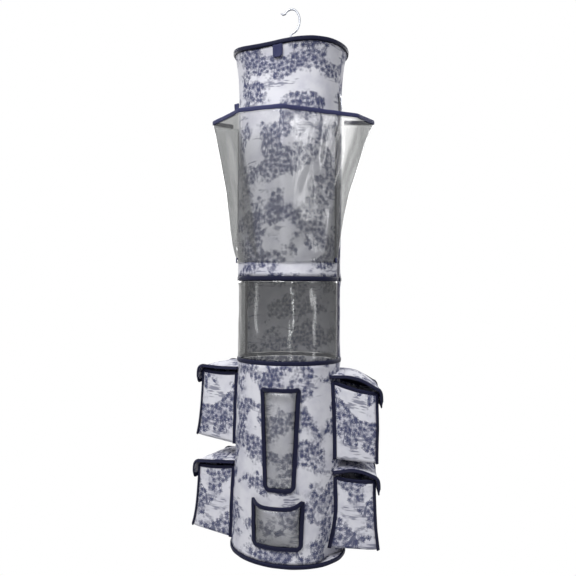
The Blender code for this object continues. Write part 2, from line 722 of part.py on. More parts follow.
def clear_tab():
    """A small tab that stands on the pocket's rim near its left fold."""
    low = TOP_Z - CLEAR_RIM_DROP + TAPE_WIDTH / 2 + GAP
    left, bend = CLEAR_FOLD_SHARES[:2]
    first = around(bend[0], WAIST_RADIUS * bend[1], 0)
    second = around(left[0], WAIST_RADIUS * left[1], 0)
    along = (second - first).normalized()
    centre = first + along * CLEAR_TAB_WIDTH
    half = CLEAR_TAB_WIDTH / 2
    points = []
    for share in (1, 0.5, 0):
        z = low + CLEAR_TAB_HEIGHT * share
        points.append([centre + along * half * side + Vector((0, 0, z)) for side in (1, 0, -1)])
    sheet("clear_pocket_tab", points, 2 * FABRIC, "slate_binding")


def patch_point(azimuth, top_drop, bottom_drop, top_width, bottom_width, bulge, sag, across, down):
    """A point of a patch pocket on the wall; across runs -1 to 1, down runs 0 to 1."""
    drop = top_drop + (bottom_drop - top_drop) * down
    width = top_width + (bottom_width - top_width) * down
    belly = 1 - across ** 4
    drop += sag * belly * (1 - down)
    stand = bulge * belly * math.cos(down * math.pi / 2)
    radius = wall_radius(drop) + SEAM_GAP + TAPE_THICKNESS / 2 + stand
    turn = azimuth + math.degrees(across * width / 2 / radius)
    return wall_point(turn, drop, radius - wall_radius(drop)), outward(turn)


def patch_pocket(name, azimuth, top_drop, bottom_drop, top_width, bottom_width, bulge, sag):
    """A clear patch pocket: one sheet inside a closed loop of binding."""
    half_tape = TAPE_WIDTH / 2
    edge = (azimuth, top_drop, bottom_drop, top_width, bottom_width, bulge, sag)
    steps = 8
    side_share = 1 - half_tape / (bottom_drop - top_drop)
    base_share = 1 - half_tape / (bottom_width / 2)
    path = [patch_point(*edge, -1 + 2 * k / steps, 0) for k in range(steps)]
    path += [patch_point(*edge, 1, side_share * k / steps) for k in range(steps + 1)]
    path += [patch_point(*edge, base_share * (1 - 2 * k / steps), 1) for k in range(steps + 1)]
    path += [patch_point(*edge, -1, side_share * (1 - k / steps)) for k in range(steps)]
    points, outs = zip(*path)
    tape(f"{name}_trim", points, outs, TAPE_WIDTH, TAPE_THICKNESS, "navy_binding", closed=True)
    inset = half_tape + SEAM_GAP
    mouth_inset = inset * math.hypot(1, 4 * sag / top_width) + sag * SAG_EASE_SHARE
    inner_widths = (top_width - 2 * inset, bottom_width - 2 * inset)
    inner = (azimuth, top_drop + mouth_inset, bottom_drop - inset, *inner_widths, bulge, sag)
    rows = []
    for i in range(6):
        rows.append([patch_point(*inner, -1 + k / 4, i / 5)[0] for k in range(9)])
    sheet(name, rows, VINYL, "clear_vinyl")


class SidePocket:
    """One side pocket: its frame of directions and its sizes, from its row of shares."""

    def __init__(self, name, side, shares):
        base_share, height_share, rim_droop_share, base_droop_share = shares[:4]
        rim_reach_share, base_reach_share, gape_share = shares[4:]
        self.name = name
        self.side = side
        self.azimuth = POCKET_MIDDLE_AZIMUTH + POCKET_AZIMUTH * side
        self.out = outward(self.azimuth)
        self.front = outward(self.azimuth - 90 * side)
        self.base_drop = BODY_HEIGHT * base_share
        self.rim_drop = self.base_drop - POCKET_HEIGHT * height_share
        self.droop = POCKET_DEPTH * rim_droop_share
        self.base_droop = POCKET_DEPTH * base_droop_share
        self.rim_reach = POCKET_DEPTH * rim_reach_share
        self.base_reach = POCKET_DEPTH * base_reach_share
        self.gape = POCKET_DEPTH * gape_share
        root_radius = wall_radius(self.base_drop) + SEAM_GAP
        self.fold = math.sqrt(root_radius ** 2 - (POCKET_WIDTH / 2 + FABRIC) ** 2)

    def place(self, reach, lateral, drop):
        return self.out * reach + self.front * lateral + Vector((0, 0, TOP_Z - drop))

    def wall_reach(self, lateral, drop):
        """Outward distance of the wall at a sideways place, also where the wall is folded in."""
        reach = wall_radius(drop)
        for _ in range(20):
            azimuth = self.azimuth - self.side * math.degrees(math.atan2(lateral, reach))
            level = drop + wall_lift(azimuth, drop)
            inward = pinch(azimuth, level)
            radius = wall_radius(level) - inward + SEAM_GAP + WALL_FOLD_GAP * min(inward / WALL_FOLD_GAP, 1)
            reach = math.sqrt(radius ** 2 - lateral ** 2)
        return reach

    def root(self, lateral, drop):
        """Outward distance at which a gusset starts, clear of the wall over its whole thickness."""
        near = lateral - math.copysign(FABRIC, lateral)
        far = lateral + math.copysign(FABRIC + TAPE_THICKNESS, lateral)
        return max(self.wall_reach(near, drop), self.wall_reach(far, drop)) + SEAM_GAP

    def far(self, share):
        """Outward distance of the outer face from rim (0) to base (1), which curls out at the base."""
        return self.fold + self.rim_reach + (self.base_reach - self.rim_reach) * share ** 3

    def rim_at(self, reach_share):
        return self.rim_drop + self.droop * reach_share

    def base_at(self, reach):
        """The base turns up or down towards its outer edge."""
        share = max(reach - self.fold, 0) / self.base_reach
        return self.base_drop + self.base_droop * share


def pocket_walls(pocket):
    """The folded panel of a side pocket: front gusset, outer face and rear gusset."""
    half = POCKET_WIDTH / 2
    rows = []
    for share in (0, 0.3, 0.6, 0.8, 1):
        row = []
        for lateral, reach_share in pocket_plan():
            top = pocket.rim_at(reach_share) + POCKET_TAPE_WIDTH / 2 + GAP
            bottom = pocket.base_at(pocket.fold + pocket.base_reach * reach_share) - FABRIC - GAP
            drop = top + (bottom - top) * share
            root = pocket.root(math.copysign(half, lateral), drop)
            reach = root + (pocket.far(share) - root) * reach_share
            row.append(pocket.place(reach, half * lateral, drop))
        rows.append(row)
    sheet(f"{pocket.name}_pocket", rows, FABRIC, "toile_fabric")


def pocket_plan():
    """Sideways and outward shares along the pocket's panel, with a softened outer fold."""
    gusset_shares = (0, 0.3, 0.6, FOLD_REACH_SHARE)
    plan = [(1, share) for share in gusset_shares]
    face_shares = (FOLD_LATERAL_SHARE, 0.5, 0, -0.5, -FOLD_LATERAL_SHARE)
    plan += [(share, 1) for share in face_shares]
    plan += [(-1, share) for share in reversed(gusset_shares)]
    return plan


def pocket_base(pocket):
    """The pocket's floor under its panel, cut to the wall on its inner side."""
    half = POCKET_WIDTH / 2
    outline = []
    for share in (1, 0.8, 0.6, 0.4, 0.2, 0, -0.2, -0.4, -0.6, -0.8, -1):
        lateral = half * share
        near = pocket.wall_reach(lateral, pocket.base_drop) + SEAM_GAP
        outline.append((near, lateral))
    far = pocket.fold + pocket.base_reach
    fold_reach = pocket.fold + pocket.base_reach * FOLD_REACH_SHARE
    outline.append((fold_reach, -half))
    outline.append((far, -half * FOLD_LATERAL_SHARE))
    outline.append((far, half * FOLD_LATERAL_SHARE))
    outline.append((fold_reach, half))
    thick = Vector((0, 0, FABRIC))
    mesh_data = bmesh.new()
    bottoms = [pocket.place(reach, lateral, pocket.base_at(reach)) for reach, lateral in outline]
    under = [mesh_data.verts.new(p) for p in bottoms]
    over = [mesh_data.verts.new(p + thick) for p in bottoms]
    lower = mesh_data.faces.new(under)
    upper = mesh_data.faces.new(list(reversed(over)))
    for k in range(len(outline)):
        n = (k + 1) % len(outline)
        mesh_data.faces.new([under[k], over[k], over[n], under[n]])
    bmesh.ops.triangulate(mesh_data, faces=[lower, upper])
    add_object(f"{pocket.name}_base", mesh_data, "toile_fabric")


def pocket_trim(pocket):
    """Binding round the mouth, down the outer folds and beside the wall, joined into one frame."""
    half = POCKET_WIDTH / 2
    path = []
    outs = []
    for lateral, reach_share in pocket_plan():
        drop = pocket.rim_at(reach_share)
        root = pocket.root(math.copysign(half, lateral), drop) + TAPE_THICKNESS
        reach = root + (pocket.far(0) - root) * reach_share
        path.append(pocket.place(reach, half * lateral, drop))
        facing = pocket.out * (1 if reach_share > 0.8 else 0)
        facing += pocket.front * (lateral if abs(lateral) > 0.9 else 0)
        outs.append(facing.normalized())
    rim = tape(f"{pocket.name}_trim", path, outs, POCKET_TAPE_WIDTH, TAPE_THICKNESS, "navy_binding")
    beside = FABRIC / 2 + GAP + TAPE_THICKNESS / 2
    for lateral in (1, -1):
        facing = pocket.out * half * (1 - FOLD_LATERAL_SHARE)
        facing += pocket.front * lateral * pocket.rim_reach * (1 - FOLD_REACH_SHARE)
        facing = facing.normalized()
        legs = []
        low = pocket.base_at(pocket.fold + pocket.base_reach)
        for share in (0, 0.3, 0.6, 0.8, 1):
            drop = pocket.rim_at(1) + (low - pocket.rim_at(1)) * share
            reach = pocket.far(share) - pocket.rim_reach * (1 - FOLD_REACH_SHARE) / 2
            corner = half * (1 + FOLD_LATERAL_SHARE) / 2 * lateral
            legs.append(pocket.place(reach, corner, drop) + facing * beside)
        join(rim, pocket_tape(f"{pocket.name}_fold_tape", legs, facing))
        legs = []
        for drop in spread(pocket.rim_drop, pocket.base_drop, 5):
            near = pocket.root(half * lateral, drop) + POCKET_TAPE_WIDTH / 2
            legs.append(pocket.place(near, (half + beside) * lateral, drop))
        join(rim, pocket_tape(f"{pocket.name}_root_tape", legs, pocket.front * lateral))


def pocket_tape(name, legs, facing):
    return tape(name, legs, [facing] * len(legs), POCKET_TAPE_WIDTH, TAPE_THICKNESS, "navy_binding")


def join(target, extra):
    """Unite a second closed mesh with the target; by itself it stays hidden."""
    union = target.modifiers.new("join", "BOOLEAN")
    union.operation = "UNION"
    union.object = extra
    extra.hide_render = True
    extra.display_type = "WIRE"


def flap_profile(pocket):
    """Outward reach and drop of a closed flap, from the wall over the mouth and down."""
    hinge_reach = flap_hinge_reach(pocket)
    far = pocket.far(0) + TAPE_THICKNESS + FLAP_PROUD
    start = flap_hinge_drop(pocket)
    over = pocket.rim_at(1) - POCKET_TAPE_WIDTH / 2 - TAPE_THICKNESS
    shares = ((0, 0), (0.15, 0.02), (0.3, 0.08), (0.6, 0.35), (0.85, 0.8), (1, 1))
    points = []
    for reach_share, drop_share in shares:
        reach = hinge_reach + (far - hinge_reach) * reach_share
        points.append((reach, start + (over - start) * drop_share))
    for share in (0.35, 0.7, 1):
        points.append((far + FABRIC, over + FLAP_OVERHANG * share))
    return points


def flap_sag(pocket, reach, drop, across):
    """How far the lid's free sides hang below its middle, down to a little above the mouth."""
    share = min(max((reach - pocket.fold) / pocket.rim_reach, 0), 1)
    edge = pocket.rim_at(share) - POCKET_TAPE_WIDTH - FLAP_EDGE_GAP
    edge -= pocket.gape * math.sin(math.pi * share)
    free = smooth_step((reach - flap_hinge_reach(pocket)) / FLAP_EASE)
    return max(edge - drop, 0) * free * abs(across) ** 2.5


def flap_hinge_reach(pocket):
    return wall_radius(pocket.rim_drop) + SEAM_GAP + HINGE_GAP


def flap_hinge_drop(pocket):
    return pocket.rim_drop - FLAP_LIFT - POCKET_TAPE_WIDTH


def flap_half_width():
    return POCKET_WIDTH / 2 + 2 * TAPE_THICKNESS


def flap_root(pocket):
    """The sewn edge of a flap, which fills between the round wall and the straight fold."""
    half = flap_half_width() - POCKET_TAPE_WIDTH / 2
    drop = flap_hinge_drop(pocket)
    far = flap_hinge_reach(pocket) - FOLD_CLEARANCE
    inner_row = []
    outer_row = []
    for lateral in spread(half, -half, 8):
        near = math.sqrt((wall_radius(drop) + SEAM_GAP) ** 2 - lateral ** 2) + GAP
        inner_row.append(pocket.place(near, lateral, drop))
        outer_row.append(pocket.place(far, lateral, drop))
    sheet(f"{pocket.name}_flap_root", [inner_row, outer_row], FABRIC, "toile_fabric")


def flap(pocket):
    """The lid of a side pocket and the binding round its three free edges."""
    half = flap_half_width()
    profile = flap_profile(pocket)
    reach, drop = profile[0]
    pivot = pocket.place(reach, 0, drop)
    inner_share = 1 - POCKET_TAPE_WIDTH / 2 / half
    rows = []
    for reach, drop in profile[:-1] + [last_inset(profile)]:
        row = []
        for across_share in (1, 0.75, 0.5, 0, -0.5, -0.75, -1):
            across = inner_share * across_share
            row.append(pocket.place(reach, half * across, drop + flap_sag(pocket, reach, drop, across)))
        rows.append(row)
    sheet(f"{pocket.name}_flap", rows, FABRIC, "toile_fabric", pivot=pivot)
    edge = half + GAP + FABRIC / 2
    reach, drop = profile[-1]
    corner = POCKET_TAPE_WIDTH / 2
    run = profile[:-1] + [(reach, drop - corner)]
    run = [(reach, drop + flap_sag(pocket, reach, drop, 1)) for reach, drop in run]
    facings = [pocket.out * n_out + Vector((0, 0, n_up)) for n_out, n_up in profile_normals(run)]
    path = [pocket.place(reach, edge, drop) for reach, drop in run]
    outs = list(facings)
    reach, drop = profile[-1]
    across = edge - corner
    for lateral in spread(across, -across, 4):
        path.append(pocket.place(reach, lateral, drop))
        outs.append(pocket.out)
    path += [pocket.place(reach, -edge, drop) for reach, drop in reversed(run)]
    outs += list(reversed(facings))
    width = POCKET_TAPE_WIDTH - 2 * GAP
    tape(f"{pocket.name}_flap_trim", path, outs, width, TAPE_THICKNESS, "navy_binding", pivot=pivot)


def last_inset(profile):
    reach, drop = profile[-1]
    return reach, drop - POCKET_TAPE_WIDTH / 2 - GAP


def profile_normals(profile):
    """Unit normals of the flap's profile, pointing up and out."""
    normals = []
    for k in range(len(profile)):
        before = profile[max(k - 1, 0)]
        after = profile[min(k + 1, len(profile) - 1)]
        reach = after[0] - before[0]
        drop = after[1] - before[1]
        length = math.hypot(reach, drop)
        normals.append((drop / length, reach / length))
    return normals


def side_pockets():
    for name, side, *shares in POCKET_SHARES:
        pocket = SidePocket(name, side, shares)
        pocket_walls(pocket)
        pocket_base(pocket)
        pocket_trim(pocket)
        flap_root(pocket)
        flap(pocket)


def build():
    clear_scene()
    hook_and_swivel()
    top_disc()
    walls()
    window_band()
    zipper()
    clear_pocket()
    patch_pocket(
        "scissors_pocket", SCISSORS_AZIMUTH, SCISSORS_TOP_DROP, SCISSORS_BOTTOM_DROP, SCISSORS_TOP_WIDTH,
        SCISSORS_BOTTOM_WIDTH, SCISSORS_BULGE, SCISSORS_SAG,
    )
    patch_pocket(
        "tape_pocket", ROLL_AZIMUTH, ROLL_TOP_DROP, ROLL_BOTTOM_DROP, ROLL_TOP_WIDTH, ROLL_BOTTOM_WIDTH,
        ROLL_BULGE, ROLL_SAG,
    )
    side_pockets()
    bottom_disc()


build()
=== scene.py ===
"""Looks for a hanging gift wrap organizer of printed cloth, bound edges and clear vinyl.

The frame's origin is the seat inside the top of the hook. +Z is up and the front faces -Y.
An azimuth is in degrees from the front, positive towards +X. A drop is a distance below the
top plane of the upper disc. A line is a list of places, each with the direction it faces.
"""

import math
from collections import namedtuple

import bpy
import bmesh
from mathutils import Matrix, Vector, noise

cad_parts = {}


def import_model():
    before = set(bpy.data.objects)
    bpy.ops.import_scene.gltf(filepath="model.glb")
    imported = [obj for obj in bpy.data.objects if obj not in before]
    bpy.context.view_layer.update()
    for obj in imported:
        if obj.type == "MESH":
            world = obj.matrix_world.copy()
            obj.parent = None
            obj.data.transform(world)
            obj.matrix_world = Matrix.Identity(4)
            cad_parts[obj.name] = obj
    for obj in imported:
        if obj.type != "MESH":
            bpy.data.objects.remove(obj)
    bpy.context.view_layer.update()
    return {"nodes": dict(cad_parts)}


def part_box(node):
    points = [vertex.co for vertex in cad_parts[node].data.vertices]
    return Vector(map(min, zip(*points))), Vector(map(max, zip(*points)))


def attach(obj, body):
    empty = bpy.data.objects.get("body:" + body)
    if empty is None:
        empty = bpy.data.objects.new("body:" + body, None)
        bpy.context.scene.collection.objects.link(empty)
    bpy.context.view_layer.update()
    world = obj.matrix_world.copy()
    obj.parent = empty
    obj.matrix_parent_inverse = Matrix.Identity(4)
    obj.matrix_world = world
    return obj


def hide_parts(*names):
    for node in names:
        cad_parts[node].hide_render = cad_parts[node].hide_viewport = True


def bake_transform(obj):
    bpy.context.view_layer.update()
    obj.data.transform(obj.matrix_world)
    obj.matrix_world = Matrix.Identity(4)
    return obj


MM = 0.001

# Overall size
BODY_HEIGHT = 859 * MM
DISC_RADIUS = 100 * MM
WAIST_RADIUS = 89.5 * MM
HIP_RADIUS = 93 * MM
HOOK_RISE = 74 * MM
TOP_Z = -HOOK_RISE
BASE_Z = TOP_Z - BODY_HEIGHT

# Sheets and tapes
FABRIC = 1.0 * MM
VINYL = 0.5 * MM
TAPE_WIDTH = 7 * MM
TAPE_THICKNESS = 2.6 * MM
SEAM_GAP = 0.5 * MM
GAP = 0.3 * MM

# Soft unevenness, with sizes across and along
RIPPLE_HEIGHT = 2.2 * MM
RIPPLE_SIZE = (38 * MM, 150 * MM)
CRINKLE_HEIGHT = 0.7 * MM
CRINKLE_SIZE = (16 * MM, 32 * MM)
COVER_CRINKLE_SIZE = (40 * MM, 40 * MM)
BASE_CRINKLE_SIZE = (35 * MM, 35 * MM)
PATCH_CRINKLE_SIZE = (18 * MM, 40 * MM)
SEAM_EASE = 12 * MM
TAPE_WAVER = 0.5 * MM
TAPE_WAVER_LENGTH = 22 * MM

# Hook
WIRE_RADIUS = 2.0 * MM
WIRE_SIDES = 20
HOOK_BOWL_WIDTH = 29 * MM
HOOK_BOWL_HEIGHT = 42 * MM
HOOK_ARC = (-60, 140, 20)
HOOK_TIP_LENGTH = 6 * MM
STEM_OVERRUN = 12.5 * MM

# Discs
RIM_WIDTH = 4 * MM
RIM_HEIGHT = 7 * MM
CROWN_HEIGHT = 2.0 * MM
CROWN_FLAT_SHARE = 0.8
BOARD_THICKNESS = 2.5 * MM
RIM_DIP = 14 * MM
RIM_DIP_AZIMUTH = -20
RIM_DIP_SPREAD = 40
BASE_TILT_SHARE = 0.045
PINCH_AZIMUTH = 64
PINCH_HALF_ANGLE = 30
PINCH_DEPTH = 17 * MM
PINCH_RISE = 110 * MM
TAB_AZIMUTH = -4
TAB_WIDTH = 16 * MM
TAB_LENGTH = 22 * MM
TAB_THICKNESS = 1.6 * MM
TAB_RIDGE = 1.0 * MM
TAB_CURL = 1.5 * MM

# Wall, in drops below the top
YOKE_DROP = 81 * MM
YOKE_ROWS = 16
WINDOW_TOP_DROP = 394 * MM
WINDOW_BOTTOM_DROP = 532 * MM
HIP_DROP = 677 * MM
WINDOW_END_AZIMUTH = -110
ZIPPER_AZIMUTH = 76
ZIPPER_EASE_ANGLE = 12
ZIPPER_SLOT_WIDTH = 12 * MM
TEETH_WIDTH = 2 * MM
TEETH_THICKNESS = 2 * MM
TEETH_PITCH = 1.6 * MM
COIL_SHARES = (0.62, 0.45, 0.46)
SLIDER_WIDTH = 8 * MM
SLIDER_THICKNESS = 2.5 * MM
PULL_WIDTH = 4 * MM
PULL_THICKNESS = 1.2 * MM

# Clear pocket folds: azimuth at the rim, reach in waist radii, azimuth at the base, fullness
CLEAR_FOLD_SHARES = (
    (-69, 1.52, -77.5, 1.0),
    (-25, 1.6, -25, 1.0),
    (3, 1.655, 3, 1.0),
    (59, 1.565, 45, 1.3),
    (83, 1.64, 69, 1.6),
)
CLEAR_SAMPLES = (14, 26, 18, 30, 14, 18)
CLEAR_END_SAMPLES = 3
CLEAR_RIM_DROP = 131 * MM
CLEAR_BOTTOM_DROP = 367 * MM
CLEAR_LEFT_AZIMUTH = -79
CLEAR_RIGHT_AZIMUTH = 70.5
CLEAR_DENT = 3 * MM
CLEAR_DENT_SIZE = (45 * MM, 90 * MM)
CLEAR_CRINKLE_SIZE = (14 * MM, 40 * MM)
CLEAR_ROOT = 2.5 * MM
CLEAR_ROOT_SHARE = 0.1
CLEAR_TAB_WIDTH = 11 * MM
CLEAR_TAB_HEIGHT = 9 * MM
CLEAR_TAB_LEAN = 1.5 * MM
FOOT_AZIMUTHS = (-72, 66)
FOOT_WIDTH = 4 * MM
FOOT_THICKNESS = 2 * MM
FOOT_HEIGHT = 8.4 * MM

# Patch pockets: name, azimuth, top drop, bottom drop, top width, bottom width, bulge, sag
PATCHES = (
    ("scissors_pocket", 0, 574 * MM, 735 * MM, 61 * MM, 46 * MM, 9 * MM, 0),
    ("tape_pocket", -2, 752 * MM, 827 * MM, 85 * MM, 80 * MM, 14 * MM, 8 * MM),
)
PATCH_CORNER = 5.6 * MM

# Side pockets
POCKET_MIDDLE_AZIMUTH = -4.5
POCKET_AZIMUTH = 100.5
POCKET_WIDTH = 100 * MM
POCKET_DEPTH = 76 * MM
POCKET_HEIGHT = 128 * MM
POCKET_TAPE_WIDTH = 6.5 * MM
FOLD_SHARE = 0.1
RIM_SLACK = 3 * MM
POCKET_BELLY = 3 * MM
FLAP_EDGE_GAP = 2 * MM
FLAP_MOUTH_GAP = 3 * MM
FLAP_SIDE_OVERHANG = 6 * MM
FLAP_STEP = 4 * MM
FLAP_WAVE = 0.6 * MM
FLAP_BEND = 8 * MM
FLAP_OVERHANG = 26 * MM
FLAP_LIFT = 9 * MM
FLAP_PROUD = 3 * MM
FLAP_CORNER = 5.2 * MM
HINGE_GAP = 4.5 * MM

# Shares of the way out and down at places along a closed flap, from its fold to the mouth's outer edge
FLAP_SHARES = ((0, 0), (0.15, 0.02), (0.3, 0.08), (0.6, 0.35), (0.85, 0.8), (1, 1))

# name, side (-1 is left), base drop, height, droops of rim and base, reaches at rim and base, gape
POCKET_SHARES = (
    ("left_upper", -1, 0.789, 0.956, -0.02, -0.13, 0.86, 1.01, 0.02),
    ("left_lower", -1, 0.977, 0.96, 0.07, -0.13, 0.88, 1.05, 0.03),
    ("right_upper", 1, 0.8065, 1, 0.26, 0.1, 0.93, 0.94, 0.14),
    ("right_lower", 1, 0.979, 0.92, 0.08, 0.03, 0.82, 0.92, 0.13),
)

# Print and grain
TOILE_CLUSTER = 50 * MM
TOILE_LEAF = 8.5 * MM
TOILE_STEM = 30 * MM
TOILE_STROKE = 2.6 * MM
CLOTH_WEAVE = 1.2 * MM
TAPE_WEAVE = 1.0 * MM
WEAVE_DEPTH = 0.1 * MM
MOTTLE_SIZE = 35 * MM
STITCH_LENGTH = 3 * MM
BOARD_GRAIN = 1.5 * MM
COIL_GRAIN = 0.6 * MM
CHROME_GRAIN = 4.8 * MM
FLOOR_GRAIN = 90 * MM
FILM_WRINKLE = 22 * MM
FILM_WRINKLE_LENGTH = 198 * MM
FILM_WRINKLE_HEIGHT = 2 * MM

# Colours and gloss
CLOTH_COLOUR = (0.68, 0.68, 0.73, 1)
CLOTH_SHADE = (0.56, 0.56, 0.63, 1)
INK_COLOUR = (0.02, 0.028, 0.1, 1)
INK_STRENGTH = 0.96
NAVY = (0.009, 0.01, 0.027, 1)
SLATE = (0.035, 0.038, 0.09, 1)
ZIPPER_BLACK = (0.03, 0.03, 0.06, 1)
THREAD_GAIN = 2.6
# How much the painted highlight on a tape's weave lightens its colour
WEAVE_HIGHLIGHT_GAIN = 1.7
CHROME_LIGHT = (0.34, 0.35, 0.38, 1)
CHROME_DARK = (0.27, 0.28, 0.31, 1)
BOARD_LIGHT = (0.3, 0.3, 0.31, 1)
BOARD_DARK = (0.2, 0.2, 0.21, 1)
COIL_LIGHT = (0.6, 0.58, 0.57, 1)
COIL_DARK = (0.42, 0.4, 0.4, 1)
FLOOR_LIGHT = (0.88, 0.88, 0.88, 1)
FLOOR_DARK = (0.865, 0.865, 0.87, 1)
FILM_COLOUR = (0.75, 0.8, 0.8, 1)
FILM_TINT = (0.985, 0.985, 0.985, 1)
FILM_EDGE_TINT = (0.04, 0.05, 0.05, 1)
FILM_HAZE = 0.012
FILM_SHINE = 0.04
WHITE = (1, 1, 1, 1)

# Camera and studio
CAMERA_AZIMUTH = 9
CAMERA_DISTANCE = 1190 * MM
CAMERA_Z = -483.5 * MM
CAMERA_SIDE = -2.6 * MM
CAMERA_SENSOR = 36
CAMERA_LENS_SHARE = 683 / 576
CAMERA_NEAR = 50 * MM
CAMERA_ROLL = 0.4
LIGHT_DISTANCE = 1600 * MM
STRIP_HEIGHT = 1900 * MM
STRIP_RISE = 650 * MM
WORLD_STRENGTH = 0.17
WORLD_COLOUR = (0.93, 0.95, 1, 1)
FLOOR_DROP = 1250 * MM
FLOOR_RADIUS = 550 * MM

# Lamps: azimuth, height above the camera, width and height, power in watts
LAMPS = (
    ("key", -22, 1600 * MM, 1000 * MM, 1000 * MM, 40),
    ("low", 10, -1200 * MM, 1000 * MM, 600 * MM, 1),
    ("fill", 12, 1300 * MM, 1200 * MM, 1000 * MM, 7),
    ("left_strip", -62, STRIP_RISE, 220 * MM, STRIP_HEIGHT, 5),
    ("front_strip", 14, STRIP_RISE, 70 * MM, STRIP_HEIGHT, 4),
    ("right_strip", 62, STRIP_RISE, 160 * MM, STRIP_HEIGHT, 4.5),
    ("back_left", -150, 500 * MM, 900 * MM, 900 * MM, 13),
    ("back_right", 150, 500 * MM, 900 * MM, 900 * MM, 13),
)

EDGE_RADIUS = DISC_RADIUS - RIM_WIDTH / 2
COVER_RADIUS = DISC_RADIUS - RIM_WIDTH - GAP
HALF_TAPE = TAPE_WIDTH / 2 + GAP
WALL_START = RIM_HEIGHT + GAP
WALL_END = BODY_HEIGHT - RIM_HEIGHT - GAP
WINDOW_ENDS = (WINDOW_TOP_DROP + HALF_TAPE, WINDOW_BOTTOM_DROP - HALF_TAPE)
LOWER_ENDS = (WINDOW_BOTTOM_DROP + HALF_TAPE, WALL_END)
LOWER_SEED = 9
ZIPPER_HALF_ANGLE = math.degrees(ZIPPER_SLOT_WIDTH / 2 / WAIST_RADIUS)
FLAP_HALF_WIDTH = POCKET_WIDTH / 2 + FLAP_SIDE_OVERHANG
UP = Vector((0, 0, 1))

Finish = namedtuple("Finish", "material slot thickness", defaults=(0,))


# Geometry shared by the pieces

def around(azimuth, radius, z=0):
    turn = math.radians(azimuth)
    return Vector((radius * math.sin(turn), -radius * math.cos(turn), z))


def outward(azimuth):
    return around(azimuth, 1)


def turn_from(middle, azimuth):
    """The angle from one azimuth to another, from -180 to 180."""
    return (azimuth - middle + 180) % 360 - 180


def smooth_step(share):
    share = min(max(share, 0), 1)
    return share * share * (3 - 2 * share)


def rounded(value, power):
    """A sine or cosine pushed towards its ends, for fuller or squarer ovals."""
    return math.copysign(abs(value) ** power, value)


def spread(start, end, count):
    return [start + (end - start) * k / count for k in range(count + 1)]


def bump(point, size, seed):
    """Smooth unevenness from -1 to 1 at a point, with its own sizes across and along."""
    across, along = size
    place = Vector((point.x / across, point.y / across, point.z / along)) + Vector((seed, seed, seed))
    return noise.noise(place)


def unevenness(point, seed):
    ripple = RIPPLE_HEIGHT * bump(point, RIPPLE_SIZE, seed)
    return ripple + CRINKLE_HEIGHT * bump(point, CRINKLE_SIZE, seed + 5)


def rim_warp(azimuth):
    """How far the upper disc's soft rim stands above its plane."""
    beside = turn_from(RIM_DIP_AZIMUTH, azimuth) / RIM_DIP_SPREAD
    return -RIM_DIP * math.exp(-beside * beside)


def base_lift(azimuth, radius):
    """How far the tilted lower disc stands above its middle, lower on the +X side."""
    return -BASE_TILT_SHARE * radius * math.sin(math.radians(azimuth))


def wall_radius(drop):
    """Outside radius of the fabric tube: drawn in from both discs to the waist."""
    if drop < YOKE_DROP:
        return WAIST_RADIUS + (EDGE_RADIUS - WAIST_RADIUS) * (1 - drop / YOKE_DROP) ** 2
    if drop < HIP_DROP:
        share = (drop - WINDOW_BOTTOM_DROP) / (HIP_DROP - WINDOW_BOTTOM_DROP)
        return WAIST_RADIUS + (HIP_RADIUS - WAIST_RADIUS) * smooth_step(share)
    share = (drop - HIP_DROP) / (BODY_HEIGHT - HIP_DROP)
    return HIP_RADIUS + (EDGE_RADIUS - HIP_RADIUS) * share


def pinch(azimuth, drop):
    """How far the wall is folded inwards above the lower disc on the front right."""
    beside = 1 - min(abs(azimuth - PINCH_AZIMUTH) / PINCH_HALF_ANGLE, 1)
    below = min(max((drop - BODY_HEIGHT + PINCH_RISE) / PINCH_RISE, 0), 1)
    return PINCH_DEPTH * smooth_step(beside) * below ** 2


def wall_lift(azimuth, drop):
    """How far the wall is raised by the warped rim above and the tilted base below."""
    lift = rim_warp(azimuth) * (1 - smooth_step((drop - WALL_START) / (YOKE_DROP - WALL_START)))
    return lift + base_lift(azimuth, EDGE_RADIUS) * smooth_step((drop - HIP_DROP) / (WALL_END - HIP_DROP))


def wall_point(azimuth, drop, stand=0):
    radius = wall_radius(drop) - pinch(turn_from(0, azimuth), drop) + stand
    return around(azimuth, radius, TOP_Z - drop + wall_lift(azimuth, drop))


# Meshes of sheets and tapes

def link(name, mesh_data, finish, smooth=True):
    data = bpy.data.meshes.new(name)
    mesh_data.to_mesh(data)
    mesh_data.free()
    data.materials.append(finish.material)
    if smooth:
        data.shade_smooth()
    made = bpy.data.objects.new(name, data)
    bpy.context.scene.collection.objects.link(made)
    return made


def running_lengths(points):
    """How far along a run of points each of them lies."""
    lengths = [0.0]
    for first, second in zip(points, points[1:]):
        lengths.append(lengths[-1] + (second - first).length)
    return lengths


def surface(name, rows, finish, thickness=None, closed=False, present=None):
    """A sheet through a grid of points, unrolled in metres for its print, with its thickness."""
    mesh_data = bmesh.new()
    layer = mesh_data.loops.layers.uv.new("Flat")
    columns = len(rows[0])
    middle = rows[len(rows) // 2]
    along = running_lengths(middle + middle[:1])
    down = running_lengths([row[columns // 2] for row in rows])
    shift = rows[0][0].z
    made = {}

    def vertex(i, j):
        key = (i, j % columns)
        if key not in made:
            made[key] = mesh_data.verts.new(rows[i][j % columns])
        return made[key]

    for i in range(len(rows) - 1):
        for j in range(columns if closed else columns - 1):
            if present and not present(i, j):
                continue
            corners = ((i, j), (i + 1, j), (i + 1, j + 1), (i, j + 1))
            face = mesh_data.faces.new([vertex(*corner) for corner in corners])
            for loop, (a, b) in zip(face.loops, corners):
                loop[layer].uv = (along[b], shift - down[a])
    piece = link(name, mesh_data, finish)
    body = piece.modifiers.new("thickness", "SOLIDIFY")
    body.thickness = thickness or finish.thickness
    body.offset = 0
    return piece


def grid(downs, acrosses, point):
    """Rows of points, one row for each place down and one point for each place across."""
    return [[point(down, across) for across in acrosses] for down in downs]


